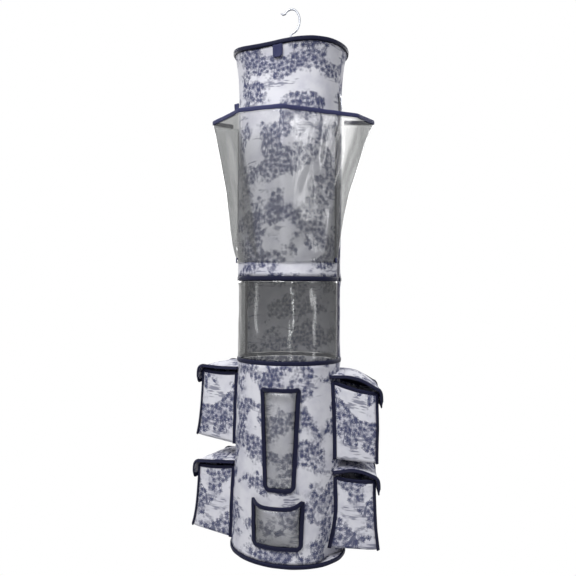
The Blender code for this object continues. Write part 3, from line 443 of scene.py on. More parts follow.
def print_in_plan(piece):
    """Lay the print flat over a level sheet, seen from above."""
    layer = piece.data.uv_layers["Flat"]
    for loop in piece.data.loops:
        layer.data[loop.index].uv = piece.data.vertices[loop.vertex_index].co.xy


def resample(line, step, closed=False):
    """Places along a smooth curve through the given ones, no further apart than the step."""
    count = len(line)
    made = []
    for i in range(count if closed else count - 1):
        picks = [i + k for k in (-1, 0, 1, 2)]
        picks = [k % count if closed else min(max(k, 0), count - 1) for k in picks]
        p = [line[k][0] for k in picks]
        pieces = max(1, round((p[2] - p[1]).length / step))
        for k in range(pieces):
            t = k / pieces
            a = p[1] * 2 + (p[2] - p[0]) * t
            b = (p[0] * 2 - p[1] * 5 + p[2] * 4 - p[3]) * t * t
            c = (p[1] * 3 - p[0] - p[2] * 3 + p[3]) * t * t * t
            made.append(((a + b + c) / 2, line[picks[1]][1].lerp(line[picks[2]][1], t)))
    return made if closed else made + line[-1:]


def soften(points, passes):
    """Round the folds a little by averaging each point with its neighbours."""
    for _ in range(passes):
        triples = zip(points, points[1:], points[2:])
        points = points[:1] + [b * 0.5 + (a + c) * 0.25 for a, b, c in triples] + points[-1:]
    return points


def sweep(name, line, section, finish, closed=False, waver=0):
    """A section carried along a line, its second axis facing the given way."""
    mesh_data = bmesh.new()
    layer = mesh_data.loops.layers.uv.new("Flat")
    rings = []
    count = len(line)
    for i, (point, out) in enumerate(line):
        before = line[(i - 1) % count][0] if closed or i else point
        after = line[(i + 1) % count][0] if closed or i < count - 1 else point
        along = (after - before).normalized()
        out = (out - along * along.dot(out)).normalized()
        side = along.cross(out)
        centre = point.copy()
        if waver:
            centre += side * waver * noise.noise(centre / TAPE_WAVER_LENGTH)
            centre += out * waver * 0.4 * noise.noise(centre / TAPE_WAVER_LENGTH + UP)
        rings.append([mesh_data.verts.new(centre + side * s + out * t) for s, t in section])
    if not closed:
        mesh_data.faces.new(rings[0])
        mesh_data.faces.new(list(reversed(rings[-1])))
    points = [point for point, _ in line]
    lengths = running_lengths(points + points[:1])
    size = len(section)
    for a in range(count if closed else count - 1):
        b = (a + 1) % count
        for k in range(size):
            n = (k + 1) % size
            face = mesh_data.faces.new([rings[a][k], rings[b][k], rings[b][n], rings[a][n]])
            spots = ((a, k), (a + 1, k), (a + 1, k + 1), (a, k + 1))
            for loop, (u, v) in zip(face.loops, spots):
                loop[layer].uv = (lengths[u], v / size)
    bmesh.ops.recalc_face_normals(mesh_data, faces=mesh_data.faces)
    return link(name, mesh_data, finish)


def tape(name, line, finish, width=TAPE_WIDTH, thickness=TAPE_THICKNESS, closed=False):
    """A tape with full round edges that wavers a little along its line."""
    section = []
    for turn in spread(0, 2 * math.pi, 14)[:-1]:
        across = rounded(math.cos(turn), 0.45) * width / 2
        section.append((across, rounded(math.sin(turn), 0.8) * thickness / 2))
    return sweep(name, resample(line, width / 2, closed), section, finish, closed, TAPE_WAVER)


# What a piece belongs to, and the flat cut of each sheet

def belong(piece, finish, *nodes, body="organizer"):
    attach(piece, body)
    if nodes:
        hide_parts(*nodes)


def declare(rows, closed=False):
    """Work out the width, length and area of a sheet's cut, the grid of points laid out flat; nothing is
    done with them.
    """
    width = max(running_lengths(row + row[:1] if closed else row)[-1] for row in rows)
    length = max(running_lengths(column)[-1] for column in zip(*rows))
    area = 0
    for upper, lower in zip(rows, rows[1:]):
        for j in range(len(upper) if closed else len(upper) - 1):
            n = (j + 1) % len(upper)
            area += (lower[n] - upper[j]).cross(lower[j] - upper[n]).length / 2
    area = min(area, width * length)


def lay(node, rows, finish, held, rests_on, with_pieces=(), in_plan=False, closed=False, present=None):
    """A sheet of cloth or film in place of a node."""
    word = "film" if finish.slot == "clear_vinyl" else "cloth"
    piece = surface(f"{node}_{word}", rows, finish, closed=closed, present=present)
    if in_plan:
        print_in_plan(piece)
    belong(piece, finish, node)
    declare(rows, closed)


def upright_tape(name, azimuth, radius, drops, finish, *nodes, **size):
    """A tape that runs up or down the wall at one azimuth."""
    line = [(around(azimuth, radius, TOP_Z - drop), outward(azimuth)) for drop in drops]
    belong(tape(name, line, finish, **size), finish, *nodes)


# Materials

class Field:
    """One output of a shader node; sums and steps with it add further nodes."""

    def __init__(self, tree, node, output=0):
        self.tree = tree
        self.node = node
        self.output = output

    def __getitem__(self, output):
        return Field(self.tree, self.node, output)

    def __add__(self, other):
        return self.math("ADD", other)

    def __sub__(self, other):
        return self.math("SUBTRACT", other)

    def __mul__(self, other):
        return self.math("MULTIPLY", other)

    def __abs__(self):
        return self.math("ABSOLUTE")

    def math(self, operation, other=0):
        return add_node(self.tree, "ShaderNodeMath", {0: self, 1: other}, operation=operation)

    def vector(self, operation, other=(0, 0, 0)):
        return add_node(self.tree, "ShaderNodeVectorMath", {0: self, 1: other}, operation=operation)

    def scaled(self, across, down):
        """A place in units of the given lengths."""
        return self.vector("MULTIPLY", (1 / across, 1 / down, 1))

    def parts(self):
        """The first two numbers of a place or colour."""
        split = add_node(self.tree, "ShaderNodeSeparateXYZ", {0: self})
        return split[0], split[1]

    def step(self, low, high):
        """A smooth rise from 0 to 1 between two values."""
        inputs = {"Value": self, "From Min": low, "From Max": high}
        return add_node(self.tree, "ShaderNodeMapRange", inputs, interpolation_type="SMOOTHSTEP")

    def stretched(self, low, high):
        """A value from 0 to 1 spread over another range, for a roughness."""
        return add_node(self.tree, "ShaderNodeMapRange", {"Value": self, "To Min": low, "To Max": high})

    def bumped(self, distance, strength):
        """A normal that follows this height."""
        inputs = {"Height": self, "Distance": distance, "Strength": strength}
        return add_node(self.tree, "ShaderNodeBump", inputs)


def feed(tree, node, inputs):
    """Link fields to a node's inputs and set plain values on them, by name or number."""
    for key, value in inputs.items():
        if isinstance(value, Field):
            tree.links.new(value.node.outputs[value.output], node.inputs[key])
        else:
            node.inputs[key].default_value = value


def add_node(tree, kind, inputs=None, **settings):
    node = tree.nodes.new(kind)
    for key, value in settings.items():
        setattr(node, key, value)
    feed(tree, node, inputs or {})
    return Field(tree, node)


def new_material(name):
    made = bpy.data.materials.new(name)
    made.use_nodes = True
    tree = made.node_tree
    return made, tree, tree.nodes["Principled BSDF"]


def flat_metres(tree):
    """The unrolled sheet's own coordinates in metres: along the sheet and down it."""
    return add_node(tree, "ShaderNodeUVMap", uv_map="Flat")


def noise_of(place, across, down, detail, offset, distortion=0):
    """Noise with its own sizes across and down, taken from a place of its own."""
    moved = place.scaled(across, down).vector("ADD", (offset, offset * 0.7, 0))
    inputs = {"Vector": moved, "Scale": 1, "Detail": detail, "Roughness": 0.55, "Distortion": distortion}
    return add_node(place.tree, "ShaderNodeTexNoise", inputs, noise_dimensions="2D")


def solid_grain(tree, size, detail):
    """Fine unevenness all through a solid, by its place in the frame."""
    place = add_node(tree, "ShaderNodeTexCoord")["Object"]
    return add_node(tree, "ShaderNodeTexNoise", {"Vector": place, "Scale": 1 / size, "Detail": detail})


def mixed(amount, first, second):
    """The first colour, turning to the second as the amount goes from 0 to 1."""
    return add_node(amount.tree, "ShaderNodeMix", {0: amount, 6: first, 7: second}, data_type="RGBA")[2]


def mixed_shaders(amount, first, second):
    return add_node(first.tree, "ShaderNodeMixShader", {0: amount, 1: first, 2: second})


def gained(colour, gain):
    return tuple(min(part * gain, 1) for part in colour[:3]) + (1,)


def foliage_field(metres):
    """Rises inside the round masses of foliage, the same for every layer of the print."""
    return noise_of(metres, TOILE_CLUSTER, TOILE_CLUSTER * 0.85, 2.5, 3, 0.3)


def leaf_bursts(metres, length, petals, low, high):
    """Bunches of pointed leaves, each bunch wholly inside the foliage."""
    place = metres.scaled(length, length)
    inputs = {"Vector": place, "Scale": 1, "Randomness": 0.9}
    cells = add_node(metres.tree, "ShaderNodeTexVoronoi", inputs, feature="F1", voronoi_dimensions="2D")
    local = place.vector("SUBTRACT", cells["Position"])
    across, up = local.parts()
    twist = cells["Color"].parts()[0] * (2 * math.pi)
    lobes = abs((up.math("ARCTAN2", across) * (petals / 2) + twist).math("COSINE"))
    leaf = (lobes * 0.52 + 0.05 - local.vector("LENGTH")["Value"]).step(0, 0.05)
    heart = cells["Position"].vector("MULTIPLY", (length, length, length))
    return leaf * foliage_field(heart).step(low, high)


def trunk_lines(metres):
    """Slender trunks and boughs that run mostly up and down."""
    field = noise_of(metres, TOILE_STEM, TOILE_STEM * 3.4, 3, 31, 0.5)
    return abs(field - 0.5).step(0.02, 0.008) * foliage_field(metres).step(0.45, 0.5)


def ground_hatching(metres):
    """Low banks of ground drawn with fine level strokes."""
    bank = noise_of(metres, TOILE_CLUSTER * 1.5, TOILE_CLUSTER * 0.36, 2, 57, 0.4)
    strokes = noise_of(metres, TOILE_STROKE * 7, TOILE_STROKE, 1, 71)
    return bank.step(0.6, 0.68) * strokes.step(0.42, 0.56)


def toile_ink(metres):
    """Trees with leafy masses and ground below them, from 0 for bare cloth to 1."""
    total = foliage_field(metres).step(0.49, 0.62) * 0.22
    for layer in (
        leaf_bursts(metres, TOILE_LEAF * 0.62, 5, 0.43, 0.52) * 0.7,
        leaf_bursts(metres, TOILE_LEAF, 7, 0.485, 0.51),
        trunk_lines(metres) * 0.85,
        ground_hatching(metres) * 0.65,
    ):
        total = total.math("MAXIMUM", layer)
    return total


def weave_height(metres, length):
    """Crossed threads over the unrolled sheet."""
    inputs = {"Vector": metres.scaled(length, length), "Scale": 1}
    waves = add_node(metres.tree, "ShaderNodeTexWave", inputs, wave_type="BANDS", bands_direction="DIAGONAL")
    return waves[1]


def toile_material():
    made, tree, shader = new_material("toile_cloth")
    metres = flat_metres(tree)
    mottle = noise_of(metres, MOTTLE_SIZE, MOTTLE_SIZE, 3, 12).step(0.35, 0.75)
    cloth = mixed(mottle, CLOTH_COLOUR, CLOTH_SHADE)
    feed(tree, shader, {
        "Base Color": mixed(toile_ink(metres) * INK_STRENGTH, cloth, INK_COLOUR),
        "Roughness": 0.75,
        "Specular IOR Level": 0.12,
        "Normal": weave_height(metres, CLOTH_WEAVE).bumped(WEAVE_DEPTH, 0.25),
    })
    return made


def stitch_line(metres):
    """A row of stitches along one edge of a tape's outer face."""
    along, across = metres.parts()
    row = abs(across - 0.32).step(0.022, 0.012)
    turn = along.math("DIVIDE", STITCH_LENGTH).math("FRACT")
    return row * abs(turn - 0.5).step(0.4, 0.32)


def binding_material(name, colour, roughness):
    """Folded tape: woven, a little paler where its threads catch the light, with a line of stitches."""
    made, tree, shader = new_material(name)
    metres = flat_metres(tree)
    weave = weave_height(metres, TAPE_WEAVE)
    # painted highlight: the tape's colour is made paler along the raised weave, where its threads would
    # catch the light
    cloth = mixed(weave * 0.35, colour, gained(colour, WEAVE_HIGHLIGHT_GAIN))
    stitches = stitch_line(metres)
    feed(tree, shader, {
        "Base Color": mixed(stitches, cloth, gained(colour, THREAD_GAIN)),
        "Roughness": roughness,
        "Specular IOR Level": 0.08,
        "Normal": (weave + stitches).bumped(WEAVE_DEPTH, 0.4),
    })
    return made


def vinyl_material():
    """Thin clear film: light passes straight through but for its tint, and it shines."""
    made, tree, shader = new_material("clear_film")
    feed(tree, shader, {"Base Color": FILM_COLOUR, "Roughness": 0.12, "Specular IOR Level": 1})
    straight = add_node(tree, "ShaderNodeBsdfTransparent", {0: FILM_TINT})
    slanting = add_node(tree, "ShaderNodeBsdfTransparent", {0: FILM_EDGE_TINT})
    facing = add_node(tree, "ShaderNodeLayerWeight", {"Blend": 0.5})["Facing"]
    clear = mixed_shaders(facing.math("POWER", 1.5), straight, slanting)
    wrinkles = noise_of(flat_metres(tree), FILM_WRINKLE, FILM_WRINKLE_LENGTH, 2, 5, 0.8)
    normal = wrinkles.bumped(FILM_WRINKLE_HEIGHT, 0.3)
    gloss = add_node(tree, "ShaderNodeBsdfGlossy", {"Roughness": 0.08, "Normal": normal})
    shine = facing.math("POWER", 5) * (1 - FILM_SHINE) + FILM_SHINE
    film = mixed_shaders(shine, clear, gloss)
    haze = mixed_shaders(FILM_HAZE, film, Field(tree, shader))
    feed(tree, tree.nodes["Material Output"], {"Surface": haze})
    return made


def metal_material():
    """Bright plated wire and fittings, with faint wiping marks."""
    made, tree, shader = new_material("bright_chrome")
    grain = solid_grain(tree, CHROME_GRAIN, 3)
    feed(tree, shader, {
        "Base Color": mixed(grain, CHROME_LIGHT, CHROME_DARK),
        "Metallic": 1,
        "Roughness": grain.stretched(0.32, 0.42),
    })
    return made


def grained_material(name, colour, darker, roughness, size):
    """A plain solid with grain: pressed board, moulded coil or the floor."""
    made, tree, shader = new_material(name)
    grain = solid_grain(tree, size, 4)
    feed(tree, shader, {
        "Base Color": mixed(grain.step(0.3, 0.7), colour, darker),
        "Roughness": grain.stretched(roughness - 0.08, roughness + 0.08),
        "Normal": grain.bumped(size / 10, 0.2),
    })
    return made


# Hook and discs

def hook_places():
    """Stem up through the disc, then the open bowl of the hook and its tip."""
    rise = HOOK_BOWL_HEIGHT / 2
    middle = WIRE_RADIUS - rise
    places = [Vector((0, 0, z)) for z in spread(TOP_Z - STEM_OVERRUN, middle - rise - WIRE_RADIUS, 6)]
    for degrees in spread(*HOOK_ARC):
        turn = math.radians(degrees)
        places.append(Vector((HOOK_BOWL_WIDTH / 2 * math.cos(turn), 0, middle + rise * math.sin(turn))))
    tip = places[-1]
    places.append(tip + Vector((-HOOK_TIP_LENGTH / 2, 0, -HOOK_TIP_LENGTH / 6)))
    places.append(tip + Vector((-HOOK_TIP_LENGTH, 0, 0)))
    return places


def make_hook(chrome):
    places = hook_places()
    line = [(place, Vector((0, 1, 0))) for place in places]
    turns = spread(0, 2 * math.pi, WIRE_SIDES)[:-1]
    section = [(WIRE_RADIUS * math.cos(turn), WIRE_RADIUS * math.sin(turn)) for turn in turns]
    wire = sweep("hook_wire_bright", resample(line, WIRE_RADIUS), section, chrome)
    ball = bmesh.new()
    bmesh.ops.create_uvsphere(ball, u_segments=WIRE_SIDES, v_segments=12, radius=WIRE_RADIUS)
    bmesh.ops.translate(ball, verts=ball.verts, vec=places[-1])
    end = link("hook_wire_tip", ball, chrome)
    belong(wire, chrome, "hook_wire", body="hook")
    belong(end, chrome, body="hook")


def top_cover_z(azimuth, share):
    """Height of the upper disc's cloth, crowned over its board and dipping at its soft rim."""
    radius = COVER_RADIUS * share
    crown = CROWN_HEIGHT * (1 - smooth_step((share - CROWN_FLAT_SHARE) / (1 - CROWN_FLAT_SHARE)))
    warp = rim_warp(azimuth) * smooth_step(radius / EDGE_RADIUS)
    crinkle = CRINKLE_HEIGHT * bump(around(azimuth, radius), COVER_CRINKLE_SIZE, 3) * share
    return TOP_Z + crown + warp + crinkle - FABRIC / 2


def bottom_cover_z(azimuth, share):
    """Height of the cloth on the tilted lower disc."""
    radius = COVER_RADIUS * share
    sag = CRINKLE_HEIGHT * bump(around(azimuth, radius), BASE_CRINKLE_SIZE, 8) * (1 - share)
    return BASE_Z + BOARD_THICKNESS + GAP + FABRIC / 2 + max(sag, 0) + base_lift(azimuth, radius)


def top_rim_z(azimuth):
    return TOP_Z - RIM_HEIGHT / 2 + rim_warp(azimuth)


def bottom_rim_z(azimuth):
    return BASE_Z + RIM_HEIGHT / 2 + base_lift(azimuth, EDGE_RADIUS)


def make_disc(word, shares, cover_z, rim_z, toile, navy):
    """A disc's round cloth cover and the tape that binds its rim."""
    azimuths = spread(0, 360, 120)[:-1]
    rows = grid(shares, azimuths, lambda share, a: around(a, COVER_RADIUS * share, cover_z(a, share)))
    cover = surface(f"{word}_cover_cloth", rows, toile, closed=True)
    print_in_plan(cover)
    belong(cover, toile, f"{word}_cover")
    line = [(around(a, EDGE_RADIUS, rim_z(a)), outward(a)) for a in azimuths]
    rim = tape(f"{word}_binding_tape", line, navy, RIM_HEIGHT, RIM_WIDTH, closed=True)
    belong(rim, navy, f"{word}_binding")


def make_tab(slate):
    """The end of the rim tape, turned down over the wall, with two stitched ridges and a narrowed tip."""
    def point(share, across):
        drop = WALL_START + TAB_LENGTH * share
        narrow = 1 - 0.5 * smooth_step((share - 0.8) / 0.2)
        half = math.degrees(TAB_WIDTH / 2 * narrow / wall_radius(drop))
        ridge = TAB_RIDGE * math.exp(-((abs(across) - 0.55) / 0.16) ** 2)
        stand = SEAM_GAP + FABRIC + ridge + TAB_CURL * share * share
        return wall_point(TAB_AZIMUTH + half * across, drop, stand)

    rows = grid(spread(0, 1, 14), spread(-1, 1, 20), point)
    belong(surface("top_tab_tape", rows, slate, TAB_THICKNESS), slate, "top_tab")


# Wall, window and zipper

def wall_stand(azimuth, drop, ends, thickness, seed):
    """How far the middle of the cloth stands out, with soft folds that die away at its seams."""
    ease = smooth_step((drop - ends[0]) / SEAM_EASE) * smooth_step((ends[1] - drop) / SEAM_EASE)
    if drop > YOKE_DROP * 0.8:
        beside = abs(turn_from(ZIPPER_AZIMUTH, azimuth))
        ease *= smooth_step((beside - ZIPPER_HALF_ANGLE) / ZIPPER_EASE_ANGLE)
    folds = unevenness(wall_point(azimuth, drop), seed) - 0.4 * RIPPLE_HEIGHT
    return folds * ease - thickness / 2


def wall_sheet(node, drops, azimuths, finish, seed, hung_from, **form):
    """A stretch of the tube's wall, hung from a seam."""
    ends = (drops[0], drops[-1])

    def point(drop, azimuth):
        return wall_point(azimuth, drop, wall_stand(azimuth, drop, ends, finish.thickness, seed))

    lay(node, grid(drops, azimuths, point), finish, "hung", hung_from, **form)


def slotted_azimuths(count):
    """All round from one edge of the zipper's slot to the other."""
    start = ZIPPER_AZIMUTH + ZIPPER_HALF_ANGLE
    return spread(start, start + 360 - 2 * ZIPPER_HALF_ANGLE, count)


def make_walls(toile, film):
    azimuths = slotted_azimuths(180)
    slot = len(azimuths) - 1

    def above_slot(i, j):
        return i < YOKE_ROWS or j != slot

    drops = spread(WALL_START, YOKE_DROP, YOKE_ROWS) + spread(YOKE_DROP, WINDOW_TOP_DROP - HALF_TAPE, 48)[1:]
    form = {"closed": True, "present": above_slot}
    wall_sheet("upper_wall", drops, azimuths, toile, 1, "top_board", **form)
    drops = spread(*LOWER_ENDS, 64)
    wall_sheet("lower_wall", drops, azimuths, toile, LOWER_SEED, "window_bottom_tape", closed=True)
    drops = spread(*WINDOW_ENDS, 28)
    half_seam = math.degrees(HALF_TAPE / WAIST_RADIUS)
    front = spread(WINDOW_END_AZIMUTH + half_seam, ZIPPER_AZIMUTH - ZIPPER_HALF_ANGLE, 110)
    wall_sheet("window", drops, front, film, 21, "window_top_tape")
    rear = spread(ZIPPER_AZIMUTH + ZIPPER_HALF_ANGLE, 360 + WINDOW_END_AZIMUTH - half_seam, 80)
    wall_sheet("rear_panel", drops, rear, toile, 33, "window_top_tape")


def make_window_bindings(navy):
    middle = WAIST_RADIUS - FABRIC / 2
    for word, drop in (("top", WINDOW_TOP_DROP), ("bottom", WINDOW_BOTTOM_DROP)):
        line = [(around(a, middle, TOP_Z - drop), outward(a)) for a in slotted_azimuths(90)]
        piece = tape(f"window_{word}_tape", line, navy, closed=word == "bottom")
        belong(piece, navy, f"window_{word}_binding")
    drops = spread(*WINDOW_ENDS, 12)
    upright_tape("window_seam_tape", WINDOW_END_AZIMUTH, middle, drops, navy, "window_seam")


def zipper_place(lateral, reach, z):
    """A point of the zipper: sideways from the teeth, outwards from the axis, and up."""
    return outward(ZIPPER_AZIMUTH + 90) * lateral + outward(ZIPPER_AZIMUTH) * reach + UP * z


def make_zipper_tape(word, side, finish):
    """One woven tape beside the teeth, with a soft fold along its sewn edge."""
    near = TEETH_WIDTH / 2 + GAP
    far = ZIPPER_SLOT_WIDTH / 2 - SEAM_GAP

    def point(drop, share):
        lateral = side * (near + (far - near) * share)
        place = Vector((lateral, 0, TOP_Z - drop))
        waver = TAPE_WAVER / 2 * bump(place, (TAPE_WIDTH, TAPE_WAVER_LENGTH), 4) * math.sin(math.pi * share)
        return zipper_place(lateral, WAIST_RADIUS - FABRIC + waver, place.z)

    rows = grid(spread(YOKE_DROP + GAP, WINDOW_ENDS[1], 60), spread(0, 1, 6)[::side], point)
    belong(surface(f"zipper_{word}_cloth", rows, finish), finish, f"zipper_{word}_tape")


def make_coil(finish):
    """Fine coil teeth in place of the plain strip."""
    low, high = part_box("zipper_teeth")
    mesh_data = bmesh.new()
    size = [whole * share for whole, share in zip((TEETH_WIDTH, TEETH_THICKNESS, TEETH_PITCH), COIL_SHARES)]
    for k in range(int((high[2] - low[2]) / TEETH_PITCH)):
        side = TEETH_WIDTH * (0.22 if k % 2 else -0.22)
        z = low[2] + TEETH_PITCH * (k + 0.5)
        made = bmesh.ops.create_uvsphere(mesh_data, u_segments=6, v_segments=5, radius=1)
        for vertex in made["verts"]:
            c = vertex.co * Vector(size)
            vertex.co = zipper_place(side + c.x, WAIST_RADIUS - FABRIC + c.y, z + c.z)
    belong(link("zipper_coil", mesh_data, finish), finish, "zipper_teeth")


def plate(name, outline, low, high, finish, hole=None):
    """A flat metal plate from its outline of sideways and upward places, with an optional hole."""
    mesh_data = bmesh.new()

    def ring(places, reach):
        return [mesh_data.verts.new(zipper_place(x, reach, z)) for x, z in places]

    rings = []
    for places in (outline, hole) if hole else (outline,):
        lower, upper = ring(places, low), ring(places, high)
        join_rings(mesh_data, lower, upper)
        rings.append((lower, upper))
    for level in (0, 1):
        if hole:
            join_rings(mesh_data, rings[0][level], rings[1][level])
        else:
            mesh_data.faces.new(rings[0][level])
    bmesh.ops.recalc_face_normals(mesh_data, faces=mesh_data.faces)
    piece = link(name, mesh_data, finish, smooth=False)
    edge = piece.modifiers.new("edge", "BEVEL")
    edge.width = (high - low) / 5
    edge.segments = 2
    return piece


def join_rings(mesh_data, first, second):
    for k in range(len(first)):
        n = (k + 1) % len(first)
        mesh_data.faces.new([first[k], first[n], second[n], second[k]])


def oval(width, low, high, narrowing):
    """An oval outline in the zipper's plane, narrower towards its upper end."""
    outline = []
    for turn in spread(0, 2 * math.pi, 32)[:-1]:
        up = rounded(math.sin(turn), 0.7)
        across = rounded(math.cos(turn), 0.6) * (1 - narrowing * (1 + up) / 2)
        outline.append((width / 2 * across, (low + high) / 2 + (high - low) / 2 * up))
    return outline


def make_slider(chrome):
    """The slider's shield over a lower plate and bridge, and the pull with its hole."""
    low, high = [corner[2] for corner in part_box("zipper_slider")]
    base = WAIST_RADIUS - FABRIC + TEETH_THICKNESS / 2 + GAP
    top = base + SLIDER_THICKNESS
    skin = SLIDER_THICKNESS / 3
    shield = oval(SLIDER_WIDTH, low, high, -0.25)
    wedge = oval(SLIDER_WIDTH / 3, (low + high) / 2, high, 0)
    for name, outline, inner, outer, nodes in (
        ("zipper_shield", shield, top - skin, top, ("zipper_slider",)),
        ("zipper_lower_plate", shield, base, base + skin, ()),
        ("zipper_bridge", wedge, base + skin, top - skin, ()),
    ):
        belong(plate(name, outline, inner, outer, chrome), chrome, *nodes, body="zipper_runner")
    low, high = [corner[2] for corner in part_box("zipper_pull")]
    outline = oval(PULL_WIDTH, low, high, 0.25)
    hole = oval(PULL_WIDTH * 0.5, low + PULL_WIDTH * 0.4, low + PULL_WIDTH * 2.2, 0.2)
    pull = plate("zipper_pull_tab", outline, top + GAP, top + GAP + PULL_THICKNESS, chrome, hole)
    belong(pull, chrome, "zipper_pull", body="zipper_tab")


def dress(frame, finish, *nodes):
    """Give frame nodes that keep their own shape a finish."""
    for node in nodes:
        data = frame["nodes"][node].data
        data.materials.clear()
        data.materials.append(finish.material)


# Clear pocket

def clear_hug(share):
    """How far from the tube's middle the film keeps at a share of the pocket's height."""
    return WAIST_RADIUS + SEAM_GAP + VINYL + CLEAR_ROOT * smooth_step(share / CLEAR_ROOT_SHARE)


def clear_row(share):
    """The film in plan at a share of its height: straight between its folds, round where it lies low."""
    hug = clear_hug(share)
    corners = [around(CLEAR_LEFT_AZIMUTH, clear_hug(0))]
    for rim_azimuth, reach_share, base_azimuth, fullness in CLEAR_FOLD_SHARES:
        high = around(rim_azimuth, WAIST_RADIUS * reach_share)
        corners.append(around(base_azimuth, hug).lerp(high, share ** fullness))
    corners.append(around(CLEAR_RIGHT_AZIMUTH, clear_hug(0)))
    points = []
    for count, first, second in zip(CLEAR_SAMPLES, corners, corners[1:]):
        points += [first.lerp(second, k / count) for k in range(count)]
    middle = [point if point.length >= hug else point.normalized() * hug for point in points[1:]]
    return points[:1] + middle + corners[-1:]


def make_clear_film(film):
    """Film with soft dents that die away at its seams and its mouth."""
    low_z = TOP_Z - CLEAR_BOTTOM_DROP
    high_z = TOP_Z - CLEAR_RIM_DROP - HALF_TAPE
    rows = []
    for share in spread(1, 0, 60):
        plan = soften(clear_row(share), 2)
        fade = smooth_step(share / 0.25) * smooth_step((1 - share) / 0.08)
        row = []
        for k, point in enumerate(plan):
            place = point + UP * (low_z + (high_z - low_z) * share)
            dent = CLEAR_DENT * bump(place, CLEAR_DENT_SIZE, 2)
            dent += CRINKLE_HEIGHT * bump(place, CLEAR_CRINKLE_SIZE, 7)
            ends = smooth_step(min(k, len(plan) - 1 - k) / 10)
            row.append(place + point.normalized() * dent * ends * fade)
        rows.append(row)
    lay("clear_pocket", rows, film, "hung", "upper_wall_cloth")


def make_clear_rim(navy, slate):
    """The binding of the mouth in three lengths between the pocket's outer folds."""
    plan = soften(clear_row(1), 1)
    last = len(plan) - 1
    line = []
    for i, point in enumerate(plan):
        along = plan[min(i + 1, last)] - plan[max(i - 1, 0)]
        line.append((point + UP * (TOP_Z - CLEAR_RIM_DROP), along.cross(UP).normalized()))
    first_fold = CLEAR_SAMPLES[0]
    last_fold = last - CLEAR_SAMPLES[-1]
    stretches = (
        ("left", CLEAR_END_SAMPLES, first_fold, navy, ()),
        ("front", first_fold, last_fold, slate, ("clear_pocket_rim",)),
        ("right", last_fold, last - CLEAR_END_SAMPLES, navy, ()),
    )
    for word, start, end, finish, nodes in stretches:
        belong(tape(f"clear_pocket_rim_{word}", line[start:end + 1], finish), slate, *nodes)


def make_clear_seam(word, azimuth, navy):
    """The tape that sews a side of the clear pocket down to the wall."""
    radius = WAIST_RADIUS + SEAM_GAP + TAPE_THICKNESS / 4
    turn = azimuth - math.degrees((TAPE_WIDTH + TAPE_THICKNESS) / 2 / radius)
    drops = spread(CLEAR_RIM_DROP + TAPE_WIDTH, CLEAR_BOTTOM_DROP, 12)
    name = f"clear_pocket_{word}"
    upright_tape(f"{name}_tape", turn, radius, drops, navy, f"{name}_seam", thickness=TAPE_THICKNESS / 2)


def make_clear_tab(slate):
    """The folded end of the rim tape, standing up near the pocket's left bend."""
    low = TOP_Z - CLEAR_RIM_DROP + TAPE_WIDTH / 2 - GAP
    left, bend = [around(azimuth, WAIST_RADIUS * reach) for azimuth, reach, *_ in CLEAR_FOLD_SHARES[:2]]
    along = (left - bend).normalized()
    out = UP.cross(along)
    centre = bend + along * CLEAR_TAB_WIDTH

    def point(share, across):
        half = CLEAR_TAB_WIDTH / 2 * (1 - 0.25 * share * share)
        step = along * half + out * CLEAR_TAB_LEAN * share
        return centre + step * across + UP * (low + CLEAR_TAB_HEIGHT * share)

    rows = grid(spread(1, 0, 8), spread(1, -1, 10), point)
    belong(surface("clear_pocket_tab_tape", rows, slate, 2 * FABRIC), slate, "clear_pocket_tab")


def make_clear_pocket(film, navy, slate):
    make_clear_film(film)
    make_clear_rim(navy, slate)
    for word, azimuth in (("left", CLEAR_LEFT_AZIMUTH), ("right", CLEAR_RIGHT_AZIMUTH)):
        make_clear_seam(word, azimuth, navy)
    make_clear_tab(slate)
    radius = WAIST_RADIUS + SEAM_GAP + CLEAR_ROOT
    drops = spread(CLEAR_BOTTOM_DROP, CLEAR_BOTTOM_DROP - FOOT_HEIGHT, 2)
    size = {"width": FOOT_WIDTH, "thickness": FOOT_THICKNESS}
    for azimuth in FOOT_AZIMUTHS:
        upright_tape("clear_pocket_foot", azimuth, radius, drops, slate, **size)


# Patch pockets

def patch_point(sizes, across, down, inset=0):
    """A place of a patch pocket on the wall; across runs -1 to 1, down runs 0 to 1."""
    azimuth, top_drop, bottom_drop, top_width, bottom_width, bulge, sag = sizes
    top_drop += inset + (0.12 * sag if inset else 0)
    belly = 1 - across ** 4
    drop = top_drop + (bottom_drop - inset - top_drop) * down + sag * belly * (1 - down)
    width = top_width + (bottom_width - top_width) * down - 2 * inset
    stand = SEAM_GAP + TAPE_THICKNESS / 2 + bulge * belly * math.cos(down * math.pi / 2)
    turn = azimuth + math.degrees(across * width / 2 / (wall_radius(drop) + stand))
    return wall_point(turn, drop, stand), outward(turn)


def make_patch(name, sizes, film, navy):
    """A clear patch pocket: one film inside a closed loop of binding."""
    _, top_drop, bottom_drop, top_width, bottom_width, *_ = sizes
    height = bottom_drop - top_drop
    side = 1 - PATCH_CORNER / height
    start = PATCH_CORNER / 3 / height
    top = 1 - PATCH_CORNER / 3 / (top_width / 2)
    base = 1 - PATCH_CORNER / (bottom_width / 2)
    places = [(across, 0) for across in spread(-top, top, 14)]
    places += [(1, down) for down in spread(start, side, 14)]
    places += [(across, 1) for across in spread(base, -base, 14)]
    places += [(-1, down) for down in spread(side, start, 14)]
    line = [patch_point(sizes, across, down) for across, down in places]
    trim = tape(f"{name}_trim_tape", line, navy, closed=True)
    belong(trim, navy, f"{name}_trim")

    def point(down, across):
        place, out = patch_point(sizes, across, down, TAPE_WIDTH / 2 - GAP)
        edge = smooth_step((1 - abs(across)) / 0.15) * smooth_step((1 - down) / 0.1)
        return place + out * edge * CRINKLE_HEIGHT * bump(place, PATCH_CRINKLE_SIZE, 12)

    rows = grid(spread(0, 1, 26), spread(-1, 1, 24), point)
    lay(name, rows, film, "hung", "lower_wall_cloth", with_pieces=[trim])


